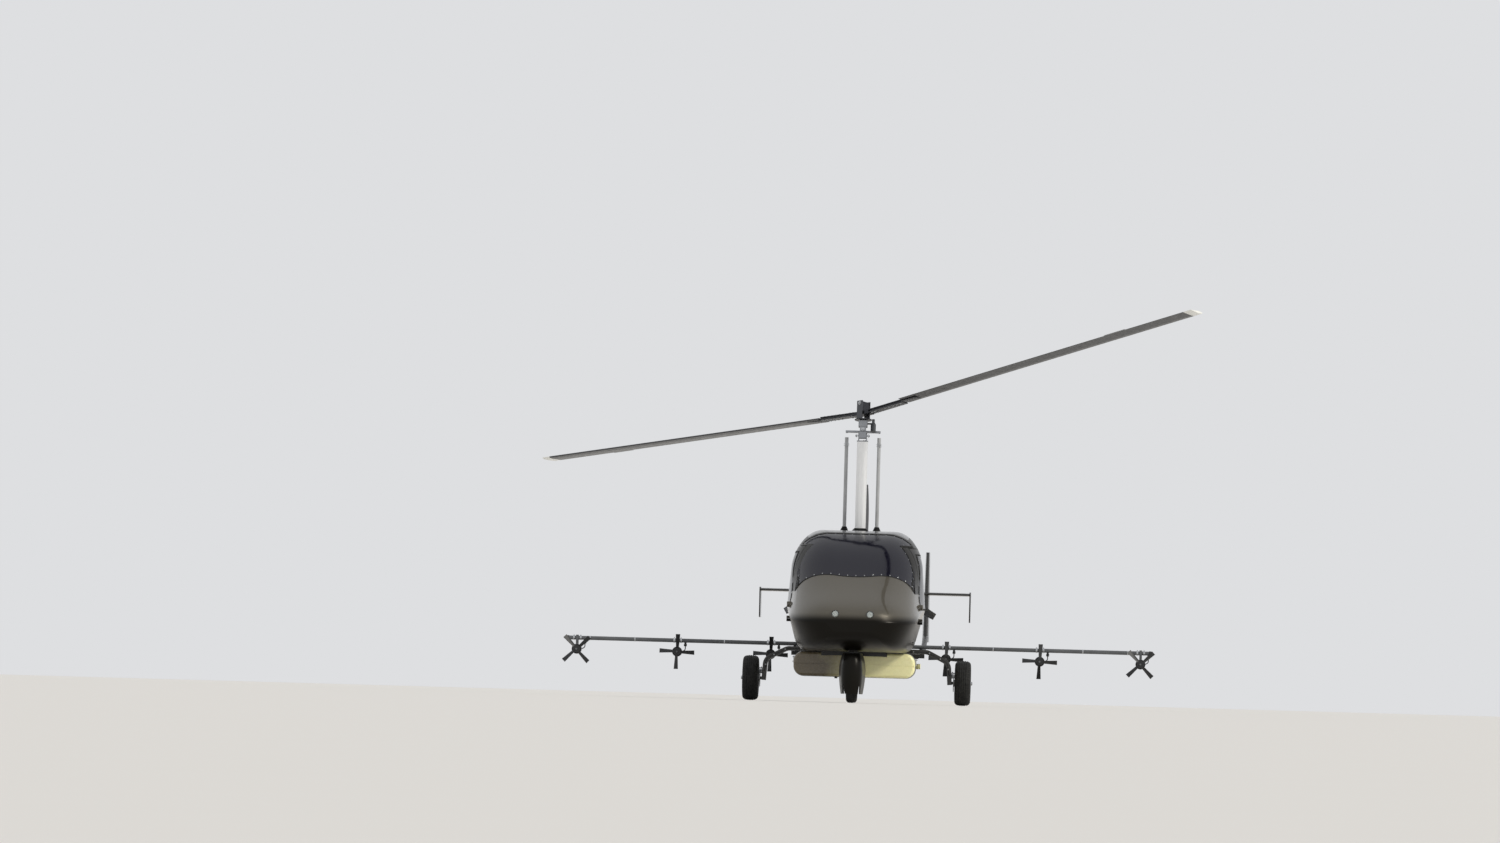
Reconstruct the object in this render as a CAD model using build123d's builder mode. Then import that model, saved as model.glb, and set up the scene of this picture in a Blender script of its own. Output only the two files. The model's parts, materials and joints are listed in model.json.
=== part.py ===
from build123d import *
from math import cos, radians, sin
import os

# A two-seat pusher gyrocopter with a closed cabin, fitted out for crop spraying.
# Millimetres. Nose towards -Y, the craft's own left side towards +X, wheels on Z 0.
# The rotor rests as it stops: disc tilted back, blades turned, forward blade teetered up.

os.makedirs("parts", exist_ok=True)

seat_gap = 0.3
run_gap = 0.05
panel_gap = 6.0

# Places along the craft
mast_y = -265
cabin_back_y = mast_y - 90
main_axle_y = mast_y + 270
nose_axle_y = main_axle_y - 1750
propeller_y = mast_y + 950

# Body
wall = 22
glass_thickness = 6
cowl_wall = 15
floor_z = 505
cabin_floor_z = floor_z + 25

# Cabin cross-sections, front to back, each six corners with a radius at each pair.
# Columns: distance ahead of the back wall, half width and height of the low corners,
# of the side corners and of the top corners, radius of the low, side and top corners
cabin_rows = [
    (1860, 180, 695, 270, 790, 160, 842, 30, 14, 60),
    (1800, 300, 620, 410, 790, 280, 925, 70, 24, 200),
    (1620, 430, 545, 565, 800, 400, 1050, 120, 40, 400),
    (1300, 520, 510, 640, 850, 490, 1265, 150, 80, 420),
    (900, 555, 500, 668, 920, 570, 1540, 160, 160, 380),
    (450, 560, 500, 672, 940, 610, 1700, 160, 200, 330),
    (0, 545, 500, 657, 945, 600, 1712, 160, 200, 320),
]

# Engine cowl cross-sections, the same columns, the distance being behind the back wall
cowl_rows = [
    cabin_rows[-1],
    (300, 470, 590, 610, 990, 500, 1700, 150, 200, 260),
    (600, 330, 680, 480, 1060, 360, 1640, 130, 200, 220),
    (880, 170, 820, 300, 1140, 190, 1520, 80, 120, 120),
]

# Opening in the cowl's floor round mast foot and engine bed, ahead of and behind the mast
cowl_mouth_front = 85
cowl_mouth_back = 725

# Landing lamps in the nose
lamp_x = 170
lamp_z = 868
lamp_r = 36
lamp_y = cabin_back_y - cabin_rows[0][0] + 30
lamp_depth = 60

# Windscreen and doors, drawn on the side view
windscreen_front_y = mast_y - 1425
windscreen_arch = 190
windscreen_low_z = 1085
windscreen_top_y = mast_y - 680
roof_low_z = 1560
pillar = 60
door_front_y = mast_y - 1175
door_back_y = mast_y - 260
door_low_z = 610
door_bend_z = 1000
door_top_z = 1545
door_top_front_y = mast_y - 815
door_frame = 65
hinge_x = 662
hinge_r = 9
hinge_length = 56
hinge_heights = (815, 955)

# Instrument panel, seats and stick
panel_y = door_front_y
panel_half = 520
panel_low_z = 870
panel_top_z = 1140
pedestal_width = 150
seat_x = 252
seat_width = 440
seat_front_y = mast_y - 840
seat_pan_z = 625
seat_top_z = 1400
seat_base = (280, 400)
stick_y = mast_y - 910
stick_height = 400

# Keel frame
rail_x = 300
rail_size = 40
rail_front_y = mast_y - 1060
rail_back_y = mast_y + 620
outrigger_half = 665
engine_post_x = 160
post_size = 44
jack_pad_x = 560
jack_pad_size = (90, 60)
jack_pad_depth = 8
cross_y = (rail_front_y + 30, mast_y, mast_y + 190)
outrigger_y = (mast_y + 385, mast_y + 580)
engine_post_y = (mast_y + 190, mast_y + 580)

# Engine and propeller
engine_size = (540, 480, 430)
propeller_z = 1330
engine_low_z = propeller_z - 300
propeller_r = 870
propeller_blades = 3
propeller_root_chord = 95
propeller_tip_chord = 70
propeller_pitch_root = 38
propeller_pitch_tip = 17
spinner_r = 85
spinner_length = 190
shaft_r = 35

# Exhaust: the silencer behind the engine bed, and its tail pipe's way down on the side view
silencer_r = 62
silencer_half = 200
silencer_y = engine_post_y[1] + post_size / 2 + 20 + silencer_r
silencer_z = 900
silencer_lug = (30, 60)
tail_pipe_r = 24
tail_pipe_x = -90
tail_pipe_route = ((silencer_y, silencer_z), (silencer_y, 690), (silencer_y + 110, 650))

# Mast and rotor head
mast_width = 105
mast_depth = 150
mast_corner = 42
pitch_bolt_z = 2665
mast_top_z = pitch_bolt_z - 60
head_plate = 12
ear_thickness = 10
ear_x = 34
gimbal_half = 26
pivot_r = 8
roll_bolt_height = 62
bearing_low = 90
bearing_top = 150
bearing_half = 45
arm_height = 60
arm_back = 100
head_tilt = 10
rotor_azimuth = 39.5
rotor_teeter_rest = 3.6
rotor_cone = 3.6
hub_height = 225
undersling = 100
tower_half = 35
tower_plate = 10
teeter_bolt_r = 10
rotor_r = 4300
blade_chord = 180
blade_thickness = 22
blade_root_r = 560
tip_cap = 95
hub_width = 92
tang_width = 60
tang_thickness = 16
strap_thickness = 8
ring_gear_r = 86
ring_disc_r = 81
pinion_r = 14

# Push rods of the rotor head
push_rod_x = 162
push_rod_y = mast_y + 118
push_rod_r = 18
push_rod_top_z = pitch_bolt_z - 15
torque_tube_z = 1250

# Main gear
track_half = 1060
tyre_facets = 64
tyre_shoulder = 0.22
tyre_bead = 0.1
main_tyre_r = 225
main_tyre_width = 160
main_rim_r = 105
axle_r = 15
bow_thickness = 45
bow_chord = 90
bow_knee_x = 700
bow_foot_x = 915
bow_foot_z = 420
bow_end_x = 930
brake_disc_r = 88

# Nose gear
nose_tyre_r = 190
nose_tyre_width = 110
nose_rim_r = 85
nose_trail = 35
stem_y = nose_axle_y - nose_trail
stem_r = 22
fork_plate = 10
fork_inner_x = 66
spat_half = 128
spat_nose = 275
spat_tail = 400
# Columns: height of a level section, its share of the spat's width, its share of the length
spat_rows = (
    (88, 0.84, 0.93),
    (240, 1.0, 1.0),
    (390, 0.97, 0.98),
    (488, 0.74, 0.84),
)
spat_low_z = spat_rows[0][0]
spat_top_z = spat_rows[-1][0]
tow_bore_r = 9
tow_hole_r = 14

# Spray gear
tank_half = 600
tank_low_z = 258
tank_top_z = 500
tank_front_y = mast_y - 840
tank_back_y = mast_y - 220
coupling_r = 25
coupling_length = 45
spray_y = mast_y + 715
spray_half = 2940
spray_tube_r = 20
tail_boom_x = 630
tail_boom_r = 26
tail_boom_z = floor_z + tail_boom_r
spray_z = tail_boom_z + tail_boom_r + spray_tube_r + seat_gap
atomiser_x = (-2830, -1820, -880, 880, 1820, 2830)
atomiser_drop = 112
fan_r = 175
fan_blades = 4
fan_y = spray_y - 105

# Tail
tail_boom_front_y = mast_y + 360
tail_boom_bend_y = mast_y + 1470
tail_boom_end = (mast_y + 2690, 700)
fin_low_z = 640
fin_top_z = 1560
fin_root_chord = 360
fin_tip_chord = 220
fin_back_y = mast_y + 2930
fin_thickness = 72
rudder_low_z = 720
rudder_top_z = 1500
rudder_chord = 190
rudder_nose_r = 18
rudder_hinge_y = fin_back_y + 28
tailplane_z = 1135
tailplane_half = 1075
tailplane_chord = 285
tailplane_thickness = 34
tailplane_back_y = fin_back_y - 25
tip_plate_drop = 285


def section_corners(row, inset):
    """The six corners of a body section, moved in by a wall."""
    low_w, low_z, side_w, side_z, top_w, top_z = row[1:7]
    return [
        (-(low_w - inset), low_z + inset),
        (low_w - inset, low_z + inset),
        (side_w - inset, side_z),
        (top_w - inset, top_z - inset),
        (-(top_w - inset), top_z - inset),
        (-(side_w - inset), side_z),
    ]


def body_form(rows, back_sign, inset=0):
    """A solid lofted through body sections that lie ahead of or behind the back wall."""
    with BuildPart() as form:
        for row in rows:
            low_r, side_r, top_r = [radius - min(inset, radius) * 0.4 for radius in row[7:10]]
            with BuildSketch(Plane.XZ.offset(-(cabin_back_y + back_sign * row[0]))):
                with BuildLine():
                    FilletPolyline(
                        *section_corners(row, inset),
                        radius=[low_r, low_r, side_r, top_r, top_r, side_r],
                        close=True,
                    )
                make_face()
        loft()
    return form.part


def side_prism(points, low_x, high_x, grow=0.0):
    """A solid drawn on the side view as (y, z) points and extruded across the craft."""
    with BuildPart() as prism:
        with BuildSketch(Plane.YZ.offset(low_x)):
            with BuildLine():
                Polyline(*points, close=True)
            make_face()
            if grow:
                offset(amount=grow, kind=Kind.INTERSECTION)
        extrude(amount=high_x - low_x)
    return prism.part


def foil_prism(plane, chord, thickness, length):
    """A straight blade of convex section: nose at the plane's origin, tail along its X."""
    with BuildPart() as blade:
        with BuildSketch(plane):
            with Locations((thickness * 0.35, 0)):
                Circle(thickness * 0.35)
            with Locations((chord * 0.3, 0)):
                Circle(thickness * 0.5)
            with Locations((chord - 1.5, 0)):
                Circle(1.5)
            make_hull()
        extrude(amount=length)
    return blade.part


def foil_loft(low_plane, low_chord, high_plane, high_chord, low_thickness, high_thickness):
    """A tapered fin: one convex section at each end, nose at each plane's origin."""
    with BuildPart() as fin:
        for plane, chord, thickness in (
            (low_plane, low_chord, low_thickness),
            (high_plane, high_chord, high_thickness),
        ):
            with BuildSketch(plane):
                with Locations((thickness * 0.35, 0)):
                    Circle(thickness * 0.35)
                with Locations((chord * 0.3, 0)):
                    Circle(thickness * 0.5)
                with Locations((chord - 1.5, 0)):
                    Circle(1.5)
                make_hull()
        loft(ruled=True)
    return fin.part


# Cabin shell: one outer form, hollowed by the same form moved in by the wall
cabin_outer = body_form(cabin_rows, -1)
cabin_inner = body_form(cabin_rows[1:], -1, wall)
glass_inner = body_form(cabin_rows[2:], -1, glass_thickness)

with BuildPart() as cabin_space:
    add(cabin_inner)
    with Locations((0, cabin_back_y - wall - 2000, cabin_floor_z + 1000)):
        Box(2000, 4000, 2000, mode=Mode.INTERSECT)

with BuildPart() as cabin_shell:
    add(cabin_outer)
    add(cabin_space.part, mode=Mode.SUBTRACT)
    with Locations((0, (cabin_back_y + rail_front_y) / 2 - 150, floor_z - 100)):
        Box(2000, cabin_back_y - rail_front_y + 500, 200, mode=Mode.SUBTRACT)

with BuildPart() as glass_shell:
    add(cabin_outer)
    add(glass_inner, mode=Mode.SUBTRACT)

windscreen_outline = [
    (windscreen_front_y, windscreen_low_z),
    (door_front_y - pillar, windscreen_low_z),
    (door_top_front_y - pillar, roof_low_z),
    (windscreen_top_y, roof_low_z),
    (windscreen_top_y, 1900),
    (windscreen_front_y, 1900),
]
roof_outline = [
    (windscreen_top_y + pillar, roof_low_z + 70),
    (cabin_back_y - 60, roof_low_z + 70),
    (cabin_back_y - 60, 1900),
    (windscreen_top_y + pillar, 1900),
]
door_outline = [
    (door_front_y, door_low_z),
    (door_back_y, door_low_z),
    (door_back_y, door_top_z),
    (door_top_front_y, door_top_z),
    (door_front_y, door_bend_z),
]
window_outline = [
    (door_front_y + door_frame, door_bend_z - 60),
    (door_back_y - door_frame, door_bend_z - 60),
    (door_back_y - door_frame, door_top_z - door_frame),
    (door_top_front_y + door_frame * 0.6, door_top_z - door_frame),
    (door_front_y + door_frame, door_bend_z + 30),
]


def windscreen_prism(grow):
    """The windscreen's opening: its side view, with its foot arched in the plan view."""
    side = side_prism(windscreen_outline, -900, 900, grow)
    with BuildPart() as prism:
        add(side)
        with BuildSketch(Plane.XY.offset(900)):
            with BuildLine():
                ThreePointArc(
                    (-640, windscreen_front_y + windscreen_arch - grow),
                    (0, windscreen_front_y - grow),
                    (640, windscreen_front_y + windscreen_arch - grow),
                )
                Polyline(
                    (640, windscreen_front_y + windscreen_arch - grow),
                    (900, windscreen_front_y + windscreen_arch + 100),
                    (900, 0),
                    (-900, 0),
                    (-900, windscreen_front_y + windscreen_arch + 100),
                    (-640, windscreen_front_y + windscreen_arch - grow),
                )
            make_face()
        extrude(amount=1100, mode=Mode.INTERSECT)
    return prism.part


# The hull carries the steering tube of the nose leg in its floor
with BuildPart() as cabin_hull:
    add(cabin_shell.part)
    add(windscreen_prism(0), mode=Mode.SUBTRACT)
    add(side_prism(roof_outline, -500, 500), mode=Mode.SUBTRACT)
    add(side_prism(door_outline, -900, 900), mode=Mode.SUBTRACT)
    with Locations((0, stem_y, floor_z + 75)):
        Cylinder(stem_r + 22, 150)
    with Locations((0, stem_y, floor_z + 50)):
        Cylinder(stem_r + run_gap, 300, mode=Mode.SUBTRACT)
    with Locations([(x, lamp_y, lamp_z) for x in (-lamp_x, lamp_x)]):
        Cylinder(lamp_r + seat_gap, lamp_depth, rotation=(90, 0, 0), mode=Mode.SUBTRACT)
    for hinge_z in hinge_heights:
        for side in (1, -1):
            with Locations((side * hinge_x, door_front_y, hinge_z + hinge_length / 4)):
                Cylinder(hinge_r, hinge_length / 2 - 1)
            with Locations((side * (hinge_x - 30), door_front_y - 15, hinge_z + hinge_length / 4)):
                Box(60, 30, hinge_length / 2 - 1)
cabin_hull.part.label = "cabin_hull"
export_step(cabin_hull.part, "parts/cabin_hull.step")

with BuildPart() as windscreen:
    add(glass_shell.part)
    add(windscreen_prism(-seat_gap), mode=Mode.INTERSECT)
windscreen.part.label = "windscreen"
export_step(windscreen.part, "parts/windscreen.step")

with BuildPart() as roof_panel:
    add(cabin_shell.part)
    add(side_prism(roof_outline, -500 + seat_gap, 500 - seat_gap, -seat_gap), mode=Mode.INTERSECT)
roof_panel.part.label = "roof_panel"
export_step(roof_panel.part, "parts/roof_panel.step")

# Doors, hinged on their front edge, each with its window glass
for side_name, side in (("left", 1), ("right", -1)):
    low_x, high_x = sorted((side * 200, side * 900))
    with BuildPart() as door:
        add(cabin_shell.part)
        add(side_prism(door_outline, low_x, high_x, -panel_gap), mode=Mode.INTERSECT)
        add(side_prism(window_outline, low_x, high_x), mode=Mode.SUBTRACT)
        for hinge_z in hinge_heights:
            with Locations((side * hinge_x, door_front_y, hinge_z - hinge_length / 4)):
                Cylinder(hinge_r, hinge_length / 2 - 1)
            with Locations((side * (hinge_x - 30), door_front_y + 15, hinge_z - hinge_length / 4)):
                Box(60, 30, hinge_length / 2 - 1)
    door.part.label = f"door_{side_name}"
    export_step(door.part, f"parts/door_{side_name}.step")
    with BuildPart() as door_glass:
        add(glass_shell.part)
        add(side_prism(window_outline, low_x, high_x, -seat_gap), mode=Mode.INTERSECT)
    door_glass.part.label = f"door_glass_{side_name}"
    export_step(door_glass.part, f"parts/door_glass_{side_name}.step")

# Inside the cabin: panel on its pedestal, two bucket seats, centre stick
with BuildPart() as instrument_panel:
    with BuildSketch(Plane.YZ.offset(-panel_half)):
        with BuildLine():
            Polyline(
                (panel_y - 50, panel_low_z + 30),
                (panel_y, panel_low_z),
                (panel_y + 45, panel_low_z),
                (panel_y + 80, panel_top_z - 35),
                (panel_y - 35, panel_top_z),
                close=True,
            )
        make_face()
    extrude(amount=2 * panel_half)
    fillet(instrument_panel.edges().filter_by(Axis.X).group_by(Axis.Z)[-1], 18)
    with Locations((0, panel_y, (cabin_floor_z + panel_low_z + 10) / 2)):
        Box(pedestal_width, 90, panel_low_z + 10 - cabin_floor_z)
instrument_panel.part.label = "instrument_panel"
export_step(instrument_panel.part, "parts/instrument_panel.step")

with BuildPart() as seats:
    for x in (-seat_x, seat_x):
        with BuildSketch(Plane.YZ.offset(x - seat_width / 2)):
            with BuildLine():
                FilletPolyline(
                    (seat_front_y, seat_pan_z),
                    (seat_front_y, seat_pan_z + 155),
                    (seat_front_y + 425, seat_pan_z + 110),
                    (seat_front_y + 590, seat_top_z),
                    (seat_front_y + 680, seat_top_z),
                    (seat_front_y + 530, seat_pan_z),
                    radius=[10, 40, 60, 40, 40, 10],
                    close=True,
                )
            make_face()
        extrude(amount=seat_width)
        with Locations((x, seat_front_y + 270, (cabin_floor_z + seat_pan_z) / 2)):
            Box(*seat_base, seat_pan_z - cabin_floor_z)
seats.part.label = "seats"
export_step(seats.part, "parts/seats.step")

with BuildPart() as control_stick:
    with Locations((0, stick_y, cabin_floor_z + 20)):
        Cylinder(38, 40)
    with Locations((0, stick_y, cabin_floor_z + stick_height / 2)):
        Cylinder(11, stick_height)
    with Locations((0, stick_y, cabin_floor_z + stick_height + 40)):
        Cylinder(20, 120)
control_stick.part.label = "control_stick"
export_step(control_stick.part, "parts/control_stick.step")

with BuildPart() as landing_lamps:
    with Locations([(x, lamp_y, lamp_z) for x in (-lamp_x, lamp_x)]):
        Cylinder(lamp_r, lamp_depth, rotation=(90, 0, 0))
landing_lamps.part.label = "landing_lamps"
export_step(landing_lamps.part, "parts/landing_lamps.step")

# Keel frame: two rails under the floor with cross tubes, outriggers and the engine bed
rail_z = floor_z - seat_gap - rail_size / 2
with BuildPart() as keel_frame:
    with Locations([(x, (rail_front_y + rail_back_y) / 2, rail_z) for x in (-rail_x, rail_x)]):
        Box(rail_size, rail_back_y - rail_front_y, rail_size)
    with Locations([(0, y, rail_z) for y in cross_y]):
        Box(2 * rail_x, rail_size, rail_size)
    with Locations([(0, y, rail_z) for y in outrigger_y]):
        Box(2 * outrigger_half, rail_size, rail_size)
    with Locations([(x, outrigger_y[1], rail_z - (rail_size + jack_pad_depth) / 2) for x in (-jack_pad_x, jack_pad_x)]):
        Box(*jack_pad_size, jack_pad_depth)
    post_low = rail_z + rail_size / 2
    for y in engine_post_y:
        with Locations([(x, y, (post_low + engine_low_z) / 2) for x in (-engine_post_x, engine_post_x)]):
            Box(post_size, post_size, engine_low_z - post_low)
        with Locations((0, y, engine_low_z - post_size / 2)):
            Box(2 * engine_post_x, post_size, post_size)
keel_frame.part.label = "keel_frame"
export_step(keel_frame.part, "parts/keel_frame.step")

# Engine cowl: a shell behind the cabin, open below round the engine bed and at its back
cowl_outer = body_form(cowl_rows, 1)
cowl_inner = body_form(cowl_rows, 1, cowl_wall)
with BuildPart() as engine_cowl:
    add(cowl_outer)
    add(cowl_inner, mode=Mode.SUBTRACT)
    with Locations((0, cabin_back_y + seat_gap - 100, 1000)):
        Box(2000, 200, 2000, mode=Mode.SUBTRACT)
    with Locations((0, mast_y + (cowl_mouth_back - cowl_mouth_front) / 2, floor_z)):
        Box(2 * (engine_post_x + post_size), cowl_mouth_back + cowl_mouth_front, 700, mode=Mode.SUBTRACT)
    with Locations((0, 0, floor_z - 250)):
        Box(2000, 2000, 500, mode=Mode.SUBTRACT)
    with BuildSketch(Plane.XY.offset(1400)):
        with Locations((0, mast_y)):
            RectangleRounded(mast_width + 16, mast_depth + 16, mast_corner)
        with Locations([(x, push_rod_y) for x in (-push_rod_x, push_rod_x)]):
            Circle(push_rod_r + 8)
    extrude(amount=500, mode=Mode.SUBTRACT)
engine_cowl.part.label = "engine_cowl"
export_step(engine_cowl.part, "parts/engine_cowl.step")

# Engine: one closed block with its gearbox and output shaft
engine_width, engine_length, engine_height = engine_size
engine_front_y = mast_y + 160
engine_back_y = engine_front_y + engine_length
with BuildPart() as engine:
    with Locations((0, (engine_front_y + engine_back_y) / 2, engine_low_z + engine_height / 2)):
        Box(engine_width, engine_length, engine_height)
    fillet(engine.edges().filter_by(Axis.Y), 60)
    with Locations((0, engine_back_y + 60, propeller_z)):
        Cylinder(78, 120, rotation=(90, 0, 0))
    with Locations((0, (engine_back_y + propeller_y - 60) / 2 + 30, propeller_z)):
        Cylinder(shaft_r, propeller_y - 60 - engine_back_y, rotation=(90, 0, 0))
engine.part.label = "engine"
export_step(engine.part, "parts/engine.step")

# Exhaust: silencer on two lugs behind the engine bed, tail pipe out of the cowl's mouth
lug_front_y = engine_post_y[1] + post_size / 2 + seat_gap
with BuildPart() as exhaust:
    with Locations((0, silencer_y, silencer_z)):
        Cylinder(silencer_r, 2 * silencer_half, rotation=(0, 90, 0))
    fillet(exhaust.edges().filter_by(GeomType.CIRCLE), 18)
    with Locations([(x, (lug_front_y + silencer_y) / 2, silencer_z) for x in (-engine_post_x, engine_post_x)]):
        Box(silencer_lug[0], silencer_y - lug_front_y, silencer_lug[1])
    with BuildLine(Plane.YZ.offset(tail_pipe_x)) as tail_pipe_line:
        FilletPolyline(*tail_pipe_route, radius=70)
    with BuildSketch(Plane(origin=tail_pipe_line.line @ 0, z_dir=tail_pipe_line.line % 0)):
        Circle(tail_pipe_r)
    sweep()
exhaust.part.label = "exhaust"
export_step(exhaust.part, "parts/exhaust.step")

# Propeller: hub, spinner and twisted blades, turning about Y
propeller_centre = Vector(0, propeller_y, propeller_z)
propeller_stations = (
    (spinner_r - 25, propeller_root_chord * 0.7, 26, propeller_pitch_root),
    (propeller_r * 0.4, propeller_root_chord, 17, propeller_pitch_root - 10),
    (propeller_r, propeller_tip_chord, 7, propeller_pitch_tip),
)


def blade_stations(centre, along, across, axle, stations):
    """Section planes of a twisted blade: its radius, chord, thickness and pitch at each."""
    for radius, chord, thickness, pitch in stations:
        chord_dir = across * cos(radians(pitch)) + axle * sin(radians(pitch))
        origin = centre + along * radius - chord_dir * (chord * 0.35)
        yield Plane(origin=origin, x_dir=chord_dir, z_dir=along), chord, thickness


def foil_through(stations):
    """A blade lofted through lens sections, each a plane, a chord and a thickness."""
    with BuildPart() as blade:
        for plane, chord, thickness in stations:
            with BuildSketch(plane):
                with BuildLine():
                    ThreePointArc((0, 0), (chord / 2, thickness / 2), (chord, 0))
                    ThreePointArc((chord, 0), (chord / 2, -thickness / 2), (0, 0))
                make_face()
        loft()
    return blade.part


hub_front_y = propeller_y - 55
hub_back_y = propeller_y + 45
spinner_tip_y = hub_back_y + spinner_length * 0.7
with BuildPart() as propeller:
    with BuildSketch(Plane.YZ):
        with BuildLine():
            Polyline(
                (hub_back_y, propeller_z + spinner_r),
                (hub_front_y, propeller_z + spinner_r),
                (hub_front_y, propeller_z + shaft_r + run_gap),
                (hub_front_y + 70, propeller_z + shaft_r + run_gap),
                (hub_front_y + 70, propeller_z),
                (spinner_tip_y, propeller_z),
            )
            ThreePointArc(
                (spinner_tip_y, propeller_z),
                (hub_back_y + spinner_length * 0.42, propeller_z + spinner_r * 0.62),
                (hub_back_y, propeller_z + spinner_r),
            )
        make_face()
    revolve(axis=Axis((0, 0, propeller_z), (0, 1, 0)))
    for i in range(propeller_blades):
        turn = radians(360 / propeller_blades * i)
        along = Vector(sin(turn), 0, cos(turn))
        across = Vector(cos(turn), 0, -sin(turn))
        add(foil_through(blade_stations(propeller_centre, along, across, Vector(0, 1, 0), propeller_stations)))
propeller.part.label = "propeller"
export_step(propeller.part, "parts/propeller.step")

# Mast, with the plate and two ears that carry the rotor head
with BuildPart() as mast:
    with BuildSketch(Plane.XY.offset(floor_z)):
        with Locations((0, mast_y)):
            RectangleRounded(mast_width, mast_depth, mast_corner)
    extrude(amount=mast_top_z - floor_z)
mast.part.label = "mast"
export_step(mast.part, "parts/mast.step")

with BuildPart() as mast_head_plates:
    with BuildSketch(Plane.XY.offset(mast_top_z)):
        with Locations((0, mast_y)):
            RectangleRounded(mast_width + 6, mast_depth * 0.8, 20)
    extrude(amount=head_plate)
    for side in (1, -1):
        with BuildSketch(Plane.YZ.offset(side * (ear_x + ear_thickness / 2))):
            with Locations((mast_y, pitch_bolt_z)):
                Circle(26)
            with Locations((mast_y, (mast_top_z + head_plate + pitch_bolt_z) / 2)):
                Rectangle(52, pitch_bolt_z - mast_top_z - head_plate)
            with Locations((mast_y, pitch_bolt_z)):
                Circle(pivot_r + run_gap, mode=Mode.SUBTRACT)
        extrude(amount=ear_thickness / 2, both=True)
mast_head_plates.part.label = "mast_head_plates"
export_step(mast_head_plates.part, "parts/mast_head_plates.step")

# Push rods up to the rotor head, from a torque tube on the back of the mast
mast_back_y = mast_y + mast_depth / 2
with BuildPart() as push_rods:
    with Locations((0, (mast_back_y + seat_gap + push_rod_y) / 2, torque_tube_z)):
        Box(60, push_rod_y - mast_back_y - seat_gap, 60)
    with Locations((0, push_rod_y, torque_tube_z)):
        Cylinder(24, 2 * push_rod_x, rotation=(0, 90, 0))
    with Locations([(x, push_rod_y, (torque_tube_z + push_rod_top_z) / 2) for x in (-push_rod_x, push_rod_x)]):
        Cylinder(push_rod_r, push_rod_top_z - torque_tube_z)
push_rods.part.label = "push_rods"
export_step(push_rods.part, "parts/push_rods.step")

# Rotor head. Its frame stands on the pitch bolt, tilted back
head_origin = Vector(0, mast_y, pitch_bolt_z)
shaft_dir = Vector(0, sin(radians(head_tilt)), cos(radians(head_tilt)))
head_plane = Plane(origin=head_origin, x_dir=(1, 0, 0), z_dir=shaft_dir)

with BuildPart(head_plane) as head_gimbal:
    with Locations((0, 0, 7)):
        Box(2 * ear_x - 2, 2 * gimbal_half, 2 * gimbal_half + 14)
    with Locations((0, 0, roll_bolt_height / 2 + 10)):
        Box(32, 2 * gimbal_half, roll_bolt_height - 6)
    Cylinder(pivot_r, 2 * (ear_x + ear_thickness) + 16, rotation=(0, 90, 0))
    with Locations((0, 0, roll_bolt_height)):
        Cylinder(pivot_r, 2 * gimbal_half + 32, rotation=(90, 0, 0))
head_gimbal.part.label = "head_gimbal"
export_step(head_gimbal.part, "parts/head_gimbal.step")

with BuildPart(head_plane) as rotor_bearing:
    with Locations((0, 0, (bearing_low + bearing_top) / 2)):
        Box(2 * bearing_half, 2 * bearing_half, bearing_top - bearing_low)
    fillet(rotor_bearing.edges().group_by(SortBy.LENGTH)[0], 12)
    for side in (1, -1):
        with Locations((0, side * (gimbal_half + 7), (bearing_low + 44) / 2 + 5)):
            Box(60, 12, bearing_low - 44 + 10)
    with Locations((0, (gimbal_half + 8 + arm_back) / 2, arm_height)):
        Box(50, arm_back - gimbal_half - 8, 20)
    with Locations((0, arm_back, arm_height)):
        Box(2 * push_rod_x + 24, 26, 20)
    with Locations((0, 0, roll_bolt_height)):
        Cylinder(pivot_r + run_gap, 140, rotation=(90, 0, 0), mode=Mode.SUBTRACT)
    with Locations((0, 0, bearing_top)):
        Cylinder(20 + run_gap, 80, mode=Mode.SUBTRACT)
rotor_bearing.part.label = "rotor_bearing"
export_step(rotor_bearing.part, "parts/rotor_bearing.step")

pinion_x = ring_gear_r + pinion_r + 2
with BuildPart(head_plane) as prerotator:
    with Locations((pinion_x, 0, 84)):
        Cylinder(26, 72)
    with Locations(((bearing_half + seat_gap + pinion_x + 20) / 2, 0, 124)):
        Box(pinion_x + 20 - bearing_half - seat_gap, 50, 8)
    with Locations((pinion_x, 0, 148)):
        Cylinder(pinion_r, 44)
prerotator.part.label = "prerotator"
export_step(prerotator.part, "parts/prerotator.step")

# Spinning part of the head: shaft, ring gear and teeter tower, turned with the blades
azimuth = radians(rotor_azimuth)
head_y = head_plane.y_dir
blade_line = Vector(1, 0, 0) * cos(azimuth) - head_y * sin(azimuth)
rotor_plane = Plane(origin=head_origin, x_dir=blade_line, z_dir=shaft_dir)
teeter_height = hub_height + undersling
disc_low = bearing_top + 8
with BuildPart(rotor_plane) as rotor_tower:
    with Locations((0, 0, bearing_top - 10)):
        Cylinder(20, 60)
    with Locations((0, 0, disc_low + 4)):
        Cylinder(ring_disc_r, 8)
    for side in (1, -1):
        with Locations((0, side * (hub_width / 2 + 6 + tower_plate / 2), (disc_low + teeter_height + 25) / 2)):
            Box(2 * tower_half, tower_plate, teeter_height + 25 - disc_low)
    with Locations((0, 0, teeter_height)):
        Cylinder(teeter_bolt_r + run_gap, 160, rotation=(90, 0, 0), mode=Mode.SUBTRACT)
rotor_tower.part.label = "rotor_tower"
export_step(rotor_tower.part, "parts/rotor_tower.step")

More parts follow.
